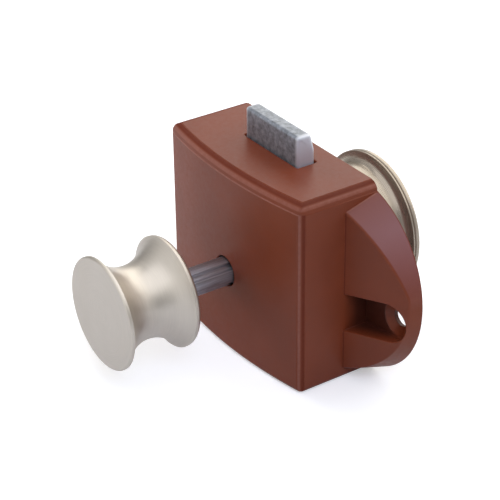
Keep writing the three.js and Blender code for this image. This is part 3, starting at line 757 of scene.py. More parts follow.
@dataclass(frozen=True)
class CasePlastic(MouldedPlastic):
    """The case's plastic, with painted shade where its edges turn from the light and in its pockets,
    and painted highlights below the edges and a painted sheen on the ears.

    A place's distances are those to the case's side, top and bowed front, the rim as the lesser of
    side and front, the depth behind an ear's sloping front, its own distance across and along the
    spindle and its height, and the square of the distance to the axis of an ear's hole.
    """

    half: float = 25.6
    top: float = 26.5
    crest: float = -22.75
    bow_radius: float = 125.0
    ear_root: float = -8.7
    ear_slope: float = 0.3515
    hole_place: tuple[float, float] = (36.1, -1.7)
    # Painted shade: dark lines along the upper half of the top edges, the side half of the upright corners
    # and the ears' roots, where the edges turn from the light. They are rougher too.
    deep: Colour = (0.1, 0.016, 0.0065)
    painted_shade_share: float = 0.75
    painted_shade_dulls: float = 0.4
    painted_shade_zones: tuple[Zone, ...] = (
        Zone((Span("rim", 0.3, 2.04), Span("top", high=0.5))),
        Zone((Span("front", 0.25, 1.2), Span("side", -0.1, 0.4), Span("top", 2.04))),
        Zone((Span("side", -0.4, -0.12, 0.08), Span("along", high=-8.5, soft=0.08))),
    )
    # Painted highlights: pale lines along the lower half of the top edges, the front half of the upright
    # corners, the step below them and the line above the ears, broken up by the specks and a little
    # glossier.
    lightened: Colour = (0.29, 0.115, 0.085)
    painted_highlight_share: float = 0.8
    painted_highlight_shines: float = 0.1
    painted_highlight_zones: tuple[Zone, ...] = (
        Zone((Span("rim", -0.1, 0.8), Span("top", 0.55, 1.35)), 0.6),
        Zone((Span("side", 0.45, 1.05), Span("front", -0.1, 0.4), Span("top", 2.04)), 0.7),
        Zone(
            (
                Span("front", -0.1, 0.25, 0.06),
                Span("side", 0.1, soft=0.06),
                Span("top", 2.04, 2.34, 0.06),
            ),
            0.8,
        ),
        Zone((Span("side", -0.35, -0.12, 0.08), Span("along", -8.3, -0.5, 0.08))),
    )
    shaded: Colour = (0.055, 0.013, 0.007)
    shaded_zones: tuple[Zone, ...] = (
        Zone(
            (
                Span("height", -7.7, 2.9),
                Span("side", high=0.1),
                Span("along", high=-2.2),
                Span("depth", 2.15, soft=1.85),
                Span("across", high=36.5, soft=2.0),
            )
        ),
        Zone((Span("hole", high=2.27**2, soft=0.2),), 0.8),
    )
    # Painted sheen: a pale blue-pink reflection on the ears' upper walls that grows outwards and upwards.
    painted_sheen: Colour = (0.235, 0.1, 0.098)
    painted_sheen_zone: Zone = Zone((Span("side", high=-0.3), Span("depth", 0.35), Span("along", high=-0.15)))
    painted_sheen_outwards: tuple[float, float, float, float] = (0.4, 0.95, 25.6, 33.5)
    painted_sheen_upwards: tuple[float, float, float, float] = (0.0, 1.0, 3.0, 19.0)

    def distances(self, recipe: Recipe) -> dict[str, Value]:
        """Distances of a place, by name. The bowed front counts as a parabola.

        Args:
            recipe: the material's tree.

        Returns:
            The distances.
        """
        x, y, z = recipe.add("ShaderNodeSeparateXYZ", recipe.stretched((1, 1, 1))).outputs
        across = recipe.reckoned("ABSOLUTE", x)
        side = recipe.less(self.half, across)
        bow = recipe.times(recipe.times(x, x), 0.5 / self.bow_radius)
        front = recipe.less(recipe.less(y, self.crest), bow)
        fall = recipe.times(recipe.less(across, self.half), self.ear_slope)
        middle, height = self.hole_place
        outwards, upwards = recipe.less(across, middle), recipe.less(z, height)
        return {
            "across": across,
            "along": y,
            "height": z,
            "side": side,
            "top": recipe.less(self.top, z),
            "front": front,
            "rim": recipe.reckoned("MINIMUM", side, front),
            "depth": recipe.less(recipe.less(y, self.ear_root), fall),
            "hole": recipe.plus(recipe.times(outwards, outwards), recipe.times(upwards, upwards)),
        }

    def painted_light(self, recipe: Recipe, colour: Value, roughness: Value, specks: Value) -> tuple[Value, Value]:
        """Painted light and shade.

        The upper half of a top edge, the side half of an upright corner and the ear's root get
        painted shade. The lower half, the front half, the step below and the line above the ear get
        painted highlights. A pocket gets painted shade the more the deeper it is, and so does its hole.
        The ears' upper walls get a faint painted sheen that grows outwards and upwards.

        Args:
            recipe: the material's tree.
            colour: colour so far.
            roughness: roughness so far.
            specks: uneven tone, from 0 to 1, which breaks up the painted highlights.

        Returns:
            The new colour and roughness.
        """
        distances = self.distances(recipe)

        def most(zones: tuple[Zone, ...]) -> Value:
            """Strength of the zone that is strongest at a place."""
            return recipe.most(*(zone.mask(recipe, distances) for zone in zones))

        # Painted sheen on the ears' upper walls.
        sheen = self.painted_sheen_zone.mask(recipe, distances)
        sheen = recipe.times(sheen, recipe.between(distances["across"], *self.painted_sheen_outwards))
        sheen = recipe.times(sheen, recipe.between(distances["height"], *self.painted_sheen_upwards))
        # Painted shade lines along the edges.
        deep = most(self.painted_shade_zones)
        # Painted highlight lines, broken up by the specks.
        lightened = recipe.times(most(self.painted_highlight_zones), recipe.between(specks, 0.5, 1.0))
        colour = recipe.blend(sheen, colour, toned(self.painted_sheen))
        colour = recipe.blend(recipe.times(deep, self.painted_shade_share), colour, toned(self.deep))
        colour = recipe.blend(recipe.times(lightened, self.painted_highlight_share), colour, toned(self.lightened))
        colour = recipe.blend(most(self.shaded_zones), colour, toned(self.shaded))
        roughness = recipe.plus(roughness, recipe.times(deep, self.painted_shade_dulls))
        return colour, recipe.less(roughness, recipe.times(lightened, self.painted_highlight_shines))


@dataclass(frozen=True)
class WorkedMetal:
    """Metal with the fine marks of its making, its tone and gloss uneven in the same direction."""

    name: str
    colour: Colour
    roughness: float
    marks: Marks
    depth: float = 0.0012
    density: float = 7.0
    contrast: float = 0.05
    metallic: float = 1.0
    round_spread: float = 1.6
    along_density: float = 0.12
    cloud_density: float = 0.16

    def material(self) -> bpy.types.Material:
        """Works the metal.

        Returns:
            The material.
        """
        recipe = Recipe(self.name)
        if self.marks is Marks.ROUND:
            place = recipe.round_axis(self.density, self.round_spread)
        elif self.marks is Marks.ALONG:
            place = recipe.stretched((self.density, self.along_density, self.density))
        else:
            place = recipe.stretched((self.density, self.density, self.density))
        streaks = recipe.noise(place, scale=1.0, detail=3.0, roughness=0.6)
        clouds = recipe.noise(recipe.stretched((1, 1, 1)), self.cloud_density, detail=3.0)
        colour = recipe.blend(
            recipe.between(streaks, 0.0, 1.0),
            toned(self.colour, 1 - self.contrast),
            toned(self.colour, 1 + self.contrast),
        )
        colour = self.lightened(recipe, colour)
        level = recipe.plus(recipe.times(streaks, 0.5), recipe.times(clouds, 0.5))
        low, high = self.roughness - GLOSSIER, self.roughness + DULLER
        roughness = recipe.between(level, low, high, start=0.35, end=0.65)
        normal = recipe.relief([(streaks, self.depth)])
        return recipe.paint(colour, roughness, self.metallic, normal)

    def lightened(self, recipe: Recipe, colour: Value) -> Value:
        """Colour after rubbing. Plain metal shows none."""
        return colour


@dataclass(frozen=True)
class RubbedZinc(WorkedMetal):
    """Zinc casting with a dark skin, rubbed bright at the ends that slide in their slot."""

    ends: tuple[float, float] = (8.9, 9.7)
    bright: Colour = (0.6, 0.61, 0.65)

    def lightened(self, recipe: Recipe, colour: Value) -> Value:
        """Skin that goes bright from the first of the ends' distances to the second.

        Args:
            recipe: the material's tree.
            colour: colour so far.

        Returns:
            The new colour.
        """
        x = recipe.add("ShaderNodeSeparateXYZ", recipe.stretched((1, 1, 1))).outputs[0]
        near_end = recipe.between(recipe.reckoned("ABSOLUTE", x), 0.0, 1.0, *self.ends)
        return recipe.blend(near_end, colour, toned(self.bright))


BROWN = (0.165, 0.0325, 0.011)
BROWN_GLOSS = 0.3


def mixed_once(finish: Union[MouldedPlastic, WorkedMetal]) -> bpy.types.Material:
    """Field whose value is a finish's material."""
    return field(default_factory=finish.material)


@dataclass
class Finishes:
    """The lock's finishes."""

    brown: bpy.types.Material = mixed_once(MouldedPlastic("brown_plastic", BROWN, gloss=BROWN_GLOSS))
    case_brown: bpy.types.Material = mixed_once(CasePlastic("case_plastic", BROWN, gloss=BROWN_GLOSS))
    pale: bpy.types.Material = mixed_once(MouldedPlastic("pale_plastic", (0.69, 0.66, 0.6), 0.5))
    black: bpy.types.Material = mixed_once(MouldedPlastic("black_plastic", (0.018, 0.017, 0.018), 0.5))
    nickel: bpy.types.Material = mixed_once(
        WorkedMetal("satin_nickel", (0.6, 0.552, 0.492), 0.43, Marks.ROUND)
    )
    # Satin nickel painted darker and browner: painted shade for the rosette behind the case and a painted
    # reflection of the brown case.
    shaded_nickel: bpy.types.Material = mixed_once(
        WorkedMetal("bronze_nickel", (0.38, 0.325, 0.26), 0.28, Marks.ROUND, metallic=0.75)
    )
    zinc: bpy.types.Material = mixed_once(
        RubbedZinc(
            "zinc_casting",
            (0.23, 0.245, 0.27),
            0.36,
            Marks.CAST,
            depth=0.006,
            density=0.8,
            contrast=0.45,
            metallic=0.5,
        )
    )
    bar: bpy.types.Material = mixed_once(
        WorkedMetal("drawn_grey_bar", (0.39, 0.395, 0.445), 0.4, Marks.ALONG, density=3.0, contrast=0.25)
    )
    steel: bpy.types.Material = mixed_once(
        WorkedMetal("plain_steel", (0.42, 0.42, 0.43), 0.34, Marks.ROUND)
    )
    wire: bpy.types.Material = mixed_once(
        WorkedMetal("spring_wire", (0.38, 0.38, 0.4), 0.3, Marks.CAST, depth=0.001, density=5.0)
    )


# The lock's pieces


@dataclass
class Case:
    """Moulded case with a bowed front, two ears for the wood screws and its works' seats inside.

    An ear's ridge is three arcs, placed by their shift from the outline's middle, the tip's and the
    upper arc's radius, and the angles at which they meet. The pocket's heights are those of its
    middle line at the case and at its round end. The sink is the countersink's radius and depth.
    """

    width: float = 51.2
    side_depth: float = 20.1
    bow: float = 2.65
    to_top: float = 26.5
    to_bottom: float = 20.4
    top_edge: float = 1.9
    bottom_edge: float = 0.8
    frame_corner: float = 1.4
    least_corner: float = 0.3
    step: float = 0.14
    facet: float = 0.16
    wall: float = 2.0
    hollow_edge: float = 0.4
    mouth: float = 3.65
    mouth_fall: float = 0.04
    bush_seat: float = 4.35
    lip: float = 0.5
    rim: float = 0.3
    mouth_rim: float = 0.15
    ear_radius: float = 23.2
    ear_inset: float = 6.7
    ear_height: float = 2.2
    ear_root: float = 8.7
    ear_tip: float = 2.9
    ridge_inset: float = 1.95
    ridge_shift: tuple[float, float] = (1.26, 0.81)
    ridge_tip: float = 2.0
    ridge_upper: float = 44.0
    ridge_angles: tuple[float, float] = (0.117, 0.522)
    ridge_round: float = 0.35
    pocket: float = 9.2
    pocket_heights: tuple[float, float] = (-3.05, -1.7)
    pocket_inset: float = 6.0
    pocket_floor: float = 2.3
    pocket_round: float = 0.5
    screw_hole: float = 2.2
    sink: tuple[float, float] = (3.8, 1.5)
    sink_rim: float = 0.25
    ledge: float = 0.9
    plate: float = 1.6
    gap: float = 0.3
    plate_corner: float = 1.4
    slot_corner: float = 0.5
    overrun: float = 3.0
    steps: int = 72

    @property
    def half(self) -> float:
        """Half the case's width."""
        return self.width / 2

    @property
    def crest(self) -> float:
        """Place of the bowed front's middle."""
        return -(self.side_depth + self.bow)

    @property
    def bow_radius(self) -> float:
        """Radius of the bowed front."""
        return (self.half**2 + self.bow**2) / (2 * self.bow)

    @property
    def slope(self) -> float:
        """How much the ear's front falls back for each millimetre outwards."""
        return (self.ear_root - self.ear_tip) / (self.ear_middle + self.ear_radius - self.half)

    @property
    def ear_middle(self) -> float:
        """Middle of the ear's outline, from the case's middle."""
        return self.half - self.ear_inset

    def plan(self, amount: float, raised: float = 0.0, edge_steps: int = 8) -> np.ndarray:
        """Plan of the case, inset all round: straight sides, round corners and an arc for the front.

        Args:
            amount: how far it is inset.
            raised: how far the sides and the front stand out past the corners.
            edge_steps: steps of each corner.

        Returns:
            Array of points in (x, y), anticlockwise.
        """
        half, bow = self.half - amount, self.bow_radius - amount
        corner = max(self.frame_corner - amount, self.least_corner)
        middle = self.crest + self.bow_radius
        across = half - corner
        place = middle - math.sqrt((bow - corner) ** 2 - across**2)
        lean = math.atan2(place - middle, across)
        start, end, turn = -math.pi - lean, lean, self.facet / bow
        right = np.array([[half + raised, place + self.facet], [half + raised, self.overrun]])
        return np.vstack(
            (
                (right * (-1, 1))[::-1],
                arc((-across, place), corner, -math.pi, start, edge_steps),
                arc((0, middle), bow + raised, start + turn, end - turn, self.steps),
                arc((across, place), corner, end, 0, edge_steps),
                right,
            )
        )

    def shell(self) -> bpy.types.Object:
        """Block of the case: its plan carried up, drawn in along a quarter round at both ends.

        The quarter rounds and the corners make a frame that lies one step inside the raised faces.

        Returns:
            The object.
        """
        step, facet = self.step, self.facet
        low, high = step - self.to_bottom, self.to_top - step
        foot, head = low + self.bottom_edge, high - self.top_edge
        rows = [(self.bottom_edge + step + facet, -self.to_bottom, 0.0)]
        rows += [(amount + step, low + rise, 0.0) for amount, rise in quarter_round(self.bottom_edge, 5)]
        rows += [(step, foot + facet, step), (step, head - facet, step)]
        rounded = quarter_round(self.top_edge, 8)[::-1]
        rows += [(amount + step, high - fall, 0.0) for amount, fall in rounded]
        rows += [(self.top_edge + step + facet, self.to_top, 0.0)]
        flat = np.stack([self.plan(amount, raised) for amount, _, raised in rows])
        along = np.broadcast_to(np.array([place for _, place, _ in rows])[:, None], flat.shape[:2])
        return loft("case", np.dstack((flat, along)))

    def face(self, across: np.ndarray) -> np.ndarray:
        """Place of an ear's sloping front at a distance from the case's middle."""
        return -self.ear_root + self.slope * (across - self.half)

    def ridge(self) -> np.ndarray:
        """Front ridge of the right ear from its top to its bottom: three arcs, each tangent to the next.

        Returns:
            Array of points in (x, z).
        """
        root = self.half - self.wall / 2
        radius = self.ear_radius - self.ridge_inset
        centre = (self.ear_middle + self.ridge_shift[0], self.ear_height + self.ridge_shift[1])
        start, end = self.ridge_angles
        tip = arc(centre, radius - self.ridge_tip, start, start, 0)[0]
        upper = arc(tip, self.ridge_tip - self.ridge_upper, end, end, 0)[0]
        top = math.acos((root - upper[0]) / self.ridge_upper)
        bottom = math.acos((root - centre[0]) / radius)
        return np.vstack(
            (
                arc(upper, self.ridge_upper, top, end, 40),
                arc(tip, self.ridge_tip, end, start, 10)[1:],
                arc(centre, radius, start, -bottom, 60)[1:],
            )
        )

    def ear(self, side: int) -> bpy.types.Object:
        """One ear: straight from the outline at the door to its ridge, which is drawn round.

        The round is a quadratic curve from the wall to the sloping front, with the ridge as its
        control.

        Args:
            side: 1 for the right ear and -1 for the left one.

        Returns:
            The object.
        """
        root = self.half - self.wall / 2
        lean = math.acos((root - self.ear_middle) / self.ear_radius)
        outline = arc((self.ear_middle, self.ear_height), self.ear_radius, lean, -lean, 120)
        door = evened(outline, self.steps)
        ridge = evened(self.ridge(), self.steps)
        inner = inset(ridge[::-1], self.ridge_round, closed=False)[::-1]
        foot = np.column_stack((door[:, 0], np.zeros(len(door)), door[:, 1]))
        edge = np.column_stack((ridge[:, 0], self.face(ridge[:, 0]), ridge[:, 1]))
        top = np.column_stack((inner[:, 0], self.face(inner[:, 0]), inner[:, 1]))
        wall = foot - edge
        length = np.linalg.norm(wall, axis=1)[:, None]
        start = edge + wall / length * np.minimum(self.ridge_round, length / 2)
        curve = bent(start, edge, top, np.linspace(0, 1, 9)[:, None, None])
        rings = np.concatenate(((foot + (0, self.overrun, 0))[None], foot[None], curve))
        rings[..., 0] *= side
        return loft("ear", rings)

    def recess(self, side: int) -> bpy.types.Object:
        """Pocket of an ear: a slot with a round end, rounded at its floor and flared at its mouth.

        Args:
            side: 1 for the right ear and -1 for the left one.

        Returns:
            The object, for cutting.
        """
        root, tip = self.pocket_heights
        middle = self.ear_middle + self.ear_radius - self.pocket_inset
        lean = math.atan2(tip - root, middle - self.half)
        inside = self.half - self.overrun
        fall = root - (self.half - inside) * math.tan(lean)

        def slot(grown: float) -> np.ndarray:
            """Outline of the slot, made wider all round.

            Args:
                grown: how much wider.

            Returns:
                Array of points in (x, z).
            """
            half = self.pocket / 2 + grown
            bend = arc((middle, tip), half, lean - QUARTER, lean + QUARTER, 24)
            return np.vstack(([[inside, fall - half]], bend, [[inside, fall + half]]))

        def ring(grown: float, place: Union[float, np.ndarray], from_face: bool) -> np.ndarray:
            """The slot's outline at one depth.

            Args:
                grown: how much wider it is all round.
                place: its place along the spindle.
                from_face: whether the place is measured from the ear's sloping front.

            Returns:
                Array of points.
            """
            shape = slot(grown)
            start = self.face(shape[:, 0]) if from_face else np.zeros(len(shape))
            return np.column_stack((shape[:, 0], start + place, shape[:, 1]))

        rounded = quarter_round(self.pocket_round, 4)
        flare = quarter_round(self.rim, 4)[::-1]
        rings = [ring(-amount, -self.pocket_floor - depth, False) for amount, depth in rounded]
        rings += [ring(amount, depth, True) for amount, depth in flare]
        rings.append(ring(self.rim, -self.overrun, True))
        cutter = np.stack(rings)
        cutter[..., 0] *= side
        return loft("pocket", cutter)

    def screw_way(self, side: int) -> bpy.types.Object:
        """Hole and countersink for a wood screw, with a soft rim.

        Args:
            side: 1 for the right ear and -1 for the left one.

        Returns:
            The object, for cutting.
        """
        radius, depth = self.sink
        wide = radius + self.sink_rim
        across = self.ear_middle + self.ear_radius - self.pocket_inset
        floor = -self.pocket_floor
        profile = np.array(
            [
                [0, floor - 1],
                [wide, floor - 1],
                [wide, floor - 0.02],
                [radius, floor + 0.1],
                [self.screw_hole, floor + depth],
                [self.screw_hole, self.overrun + 1],
                [0, self.overrun + 1],
            ]
        )
        centre = (side * across, 0.0, self.pocket_heights[1])
        return turned("screw way", profile, 48, looped=False, centre=centre)

    def front_way(self) -> bpy.types.Object:
        """Hole in the front wall with a rounded mouth and the bush's seat behind it.

        Returns:
            The object, for cutting.
        """
        flare = quarter_round(self.mouth_rim, 4)[::-1]
        mouth = np.column_stack((self.mouth, self.crest + self.mouth_fall)) + flare
        deep, shoulder = self.crest + self.wall + self.overrun, self.crest + self.lip
        profile = np.vstack(
            (
                [[0, deep], [self.bush_seat, deep], [self.bush_seat, shoulder], [self.mouth, shoulder]],
                mouth,
                [[self.mouth + self.mouth_rim, self.crest - self.overrun], [0, self.crest - self.overrun]],
            )
        )
        return turned("front way", profile, 96, looped=False)

    def bolt_way(self, half: float, front: float, back: float) -> bpy.types.Object:
        """Slot for the bolt in the top, with rounded corners and a rounded mouth, for cutting.

        Args:
            half: half the bolt's width.
            front: place of its front.
            back: place of its back.

        Returns:
            The object.
        """
        side, near, far = half + self.gap, front - self.gap, back + self.gap
        outline = softened(rectangle((-side, side), (near, far)), self.slot_corner, 4)
        flare = quarter_round(self.rim, 4)[::-1]
        grown = [inset(outline, -amount) for amount in flare[:, 0]]
        shapes = [outline] + grown + [grown[-1]]
        places = [self.to_top - self.wall - self.overrun]
        places += (self.to_top - flare[:, 1]).tolist() + [self.to_top + self.overrun]
        rings = [np.column_stack((shape, np.full(len(shape), z))) for shape, z in zip(shapes, places)]
        return loft("bolt way", np.stack(rings))

    def build(self, works: "Works", bolt: "Bolt") -> bpy.types.Object:
        """Moulds the case and cuts its hollow, seats, ribs, bosses, slots and holes.

        Args:
            works: places of the screws, the ribs and the wire's pillar.
            bolt: the bolt, for its slot.

        Returns:
            The object.
        """
        bottom, wall = -self.to_bottom, self.wall
        body = self.shell()
        for side in (1, -1):
            ear = worked(self.ear(side), Join.CUT, self.recess(side))
            worked(ear, Join.CUT, self.screw_way(side))
            worked(body, Join.ADD, ear)
        reach = self.ear_middle + self.ear_radius + self.overrun
        beyond = [bottom - self.overrun, self.to_top + self.overrun]
        worked(body, Join.CUT, block("behind", (-reach, reach), (0, 3 * self.overrun), beyond))
        low, high = bottom + wall, self.to_top - wall
        hollow = carried("hollow", self.plan(wall), Way.UP, low, high, self.hollow_edge, 3)
        worked(body, Join.CUT, hollow)
        rest = self.half - wall + self.ledge
        heights = (low - self.ledge, high + self.ledge)
        outline = softened(rectangle((-rest, rest), heights), self.plate_corner, 6)
        seat = carried("seat", outline, Way.THROUGH, -self.plate - self.gap, self.overrun)
        worked(body, Join.CUT, seat)
        worked(body, Join.ADD, *works.seats(self))
        worked(body, Join.CUT, *works.screw_holes(self), self.bolt_way(bolt.half, bolt.front, bolt.back))
        return worked(body, Join.CUT, self.front_way())


@dataclass
class Works:
    """What is hidden in the case: back plate, its screws, bosses, ribs, bush, spring and wire.

    A screw is inset from the case's side, top and bottom, and its recess has a length, a width and
    a depth. A rail lies between two distances from the middle. The pillar has a place and a radius,
    and the wire's tip a place and a height. The bush has a radius, its flange's radius and its
    thickness, and the collar an outer radius, an inner one and a height. The keel's way has half a
    width and a depth.
    """

    boss: float = 3.0
    screw_inset: tuple[float, float, float] = (6.2, 5.7, 5.6)
    shank: float = 1.1
    thread: float = 0.09
    neck: float = 0.4
    head: float = 2.2
    head_rim: float = 0.08
    head_depth: float = 1.1
    screw_length: float = 9.0
    recess: tuple[float, float, float] = (2.4, 0.55, 0.7)
    recess_corner: float = 0.1
    rail: tuple[float, float] = (10.3, 11.7)
    rail_foot: float = -11.16
    pillar: tuple[float, float] = (-16.4, 2.4)
    pillar_top: float = -11.3
    pillar_hole: float = 4.0
    wire: float = 0.5
    wire_bend: float = 1.1
    wire_height: float = -10.5
    wire_tip: tuple[float, float] = (-3.6, -8.4)
    bush: tuple[float, float, float] = (4.05, 5.1, 0.5)
    bush_rounds: tuple[float, ...] = (0.2, 0.15, 0.05, 0.1, 0.1, 0.1)
    bush_recess: float = 0.8
    bore: float = 3.65
    collar: tuple[float, float, float] = (13.2, 11.9, 1.8)
    hole: float = 7.0
    keel: tuple[float, float] = (5.1, 9.5)
    edge: float = 0.2
    spring_wire: float = 0.4
    spring_radius: float = 4.35
    spring_curls: int = 5
    spring_steps: int = 48
    spring_ends: tuple[float, float] = (-19.65, -9.15)
    spring_bend: float = 0.9
    spring_share: float = 0.7

    def screw_places(self, case: Case) -> list[tuple[float, float]]:
        """Places of the back plate's screws.

        Args:
            case: the case that the plate is let into.

        Returns:
            Four places in (x, z), from the left and from above.
        """
        side = case.half - self.screw_inset[0]
        heights = (case.to_top - self.screw_inset[1], self.screw_inset[2] - case.to_bottom)
        return [(way * side, height) for way in (-1, 1) for height in heights]

    def seats(self, case: Case) -> list[bpy.types.Object]:
        """Bosses, ribs and pillar of the case, each sunk a little into the wall that it stands on.

        Args:
            case: the case that they stand in.

        Returns:
            The objects, which lie apart.
        """
        ledge = -case.plate - case.gap
        front = case.crest + case.wall * 0.75
        pieces = [
            carried("boss", circle(place, self.boss, 40), Way.THROUGH, -case.side_depth, ledge)
            for place in self.screw_places(case)
        ]
        heights = (self.rail_foot, case.to_top - case.wall / 2)
        for side in (-1, 1):
            across = sorted((side * self.rail[0], side * self.rail[1]))
            pieces.append(block("rib", across, (front, ledge), heights))
        place, radius = self.pillar
        foot = -case.to_bottom + case.wall / 2
        pieces.append(carried("pillar", circle((0, place), radius, 40), Way.UP, foot, self.pillar_top))
        return pieces

    def screw_holes(self, case: Case) -> list[bpy.types.Object]:
        """Holes for the plate's screws and for the wire.

        Args:
            case: the case that they are in.

        Returns:
            The objects, which lie apart, for cutting.
        """
        deep = -case.plate - self.screw_length - case.gap
        radius = self.shank + case.gap
        holes = [
            carried("hole", circle(place, radius, 24), Way.THROUGH, deep, case.overrun)
            for place in self.screw_places(case)
        ]
        outline = circle((0, self.pillar[0]), self.wire + case.gap, 20)
        low, high = self.pillar_top - self.pillar_hole, self.pillar_top + case.overrun
        holes.append(carried("wire hole", outline, Way.UP, low, high))
        return holes

    def back_plate(self, case: Case) -> bpy.types.Object:
        """Plate in the back with its collar, hole, keel way and countersunk holes.

        Args:
            case: the case that it is let into.

        Returns:
            The object.
        """
        rest = case.half - case.wall + case.ledge - case.gap
        low = case.wall - case.to_bottom - case.ledge + case.gap
        high = case.to_top - case.wall + case.ledge - case.gap
        outline = softened(rectangle((-rest, rest), (low, high)), case.plate_corner, 6)
        plate = carried("back_plate_shown", outline, Way.THROUGH, -case.plate, 0, self.edge, 3)
        outer, inner, height = self.collar
        ring = rectangle((inner, outer), (-case.plate / 2, height))
        worked(plate, Join.ADD, turned("collar", softened(ring, self.edge, 3), 120))
        hole = carried("hole", circle((0, 0), self.hole, 96), Way.THROUGH, -case.plate - 1, 1)
        worked(plate, Join.CUT, hole)
        side, depth = self.keel
        worked(plate, Join.CUT, block("keel way", (-side, side), (-case.plate - 1, 1), (-depth, 0)))
        flare = (self.head - self.shank) / self.head_depth
        foot, sink = self.shank + case.gap, case.gap + self.head_depth
        profile = np.array(
            [
                [0, -case.plate - 1],
                [foot, -case.plate - 1],
                [foot, -sink],
                [foot + flare * (sink + 1), 1],
                [0, 1],
            ]
        )
        holes = [
            turned("screw hole", profile, 40, looped=False, centre=(x, 0.0, z))
            for x, z in self.screw_places(case)
        ]
        return worked(plate, Join.CUT, *holes)

    def plate_screw(self, case: Case, number: int) -> bpy.types.Object:
        """One countersunk screw with a cross recess and a threaded shank.

        The shank's radius falls and rises as a wave along it.

        Args:
            case: the case that it holds the plate to.
            number: which of the four, from 0.

        Returns:
            The object.
        """
        x, z = self.screw_places(case)[number]
        head = -case.gap
        rear = head - self.head_depth
        tip = -case.plate - self.screw_length
        thread, waves = threaded(tip + self.shank, rear - self.neck, self.shank, self.thread, 60, 6)
        rim = self.head_rim
        profile = np.vstack(
            (
                [[0, tip], [self.shank * 0.35, tip + 0.1]],
                np.column_stack((waves, thread)),
                [[self.shank, rear], [self.head, head - rim], [self.head - rim, head], [0, head]],
            )
        )
        screw = turned(f"plate_screw_shown_{number + 1}", profile, 40, looped=False, centre=(x, 0.0, z))
        length, width, depth = self.recess
        for wide, tall in ((length / 2, width / 2), (width / 2, length / 2)):
            cross = rectangle((x - wide, x + wide), (z - tall, z + tall))
            outline = softened(cross, self.recess_corner, 3)
            worked(screw, Join.CUT, carried("recess", outline, Way.THROUGH, head - depth, head + 1))
        return screw

    def front_bush(self, case: Case) -> bpy.types.Object:
        """Bush in the front wall that the spindle slides in.

        Args:
            case: the case that it is seated in.

        Returns:
            The object.
        """
        outer, flange, thick = self.bush
        front = case.crest + self.bush_recess
        seat = case.crest + case.wall + case.gap
        rear = seat + thick
        radii = (self.bore, outer, outer, flange, flange, self.bore)
        profile = np.column_stack((radii, (front, front, seat, seat, rear, rear)))
        return turned("front_bush_shown", softened(profile, self.bush_rounds, 3), 96)

    def follower(self) -> bpy.types.Object:
        """The follower wire: two straight ends and a run between them, joined by quadratic bends.

        Returns:
            The object.
        """
        start, radius = self.pillar[0], self.wire_bend
        tip, top = self.wire_tip
        height = self.wire_height
        foot = height - self.pillar_hole
        t = np.linspace(0, 1, 13)[:, None]
        ahead, up = np.array([radius, 0.0]), np.array([0.0, radius])
        first, second = np.array([start, height]), np.array([tip, height])
        path = np.vstack(
            (
                [[start, foot], [start, foot + 1.5]],
                bent(first - up, first, first + ahead, t),
                bent(second - ahead, second, second + up, t),
                [[tip, top]],
            )
        )
        line = np.column_stack((np.zeros(len(path)), path))
        return tube("follower_wire_shown", line, np.tile([1.0, 0, 0], (len(line), 1)), self.wire, 20)

    def spring(self) -> bpy.types.Object:
        """The spring: curls about the spindle's axis, with a bend and a straight end at each side.

        The curls are radius times cosine and sine of an angle that grows with the place along the
        axis. The ends' angles are interpolated over the same places.

        Returns:
            The object.
        """
        front, rear = self.spring_ends
        bend, share = self.spring_bend, self.spring_share
        straight = 2 * self.spring_wire
        first, last = front + straight + bend, rear - straight - bend
        lead, end = bend / self.spring_radius, TURN * self.spring_curls
        curls = np.linspace(0, 1, self.spring_steps * self.spring_curls + 1)
        before, after = [-lead, -lead, -lead * share], [end + lead * share, end + lead, end + lead]
        angle = np.concatenate((before, curls * end, after))
        place = np.concatenate(
            (
                [front, front + straight, front + straight + bend * share],
                first + (last - first) * curls,
                [rear - straight - bend * share, rear - straight, rear],
            )
        )
        out = np.column_stack((np.cos(angle), np.zeros(len(angle)), np.sin(angle)))
        line = out * self.spring_radius
        line[:, 1] = place
        return tube("main_spring_shown", line, out, self.spring_wire, 14)


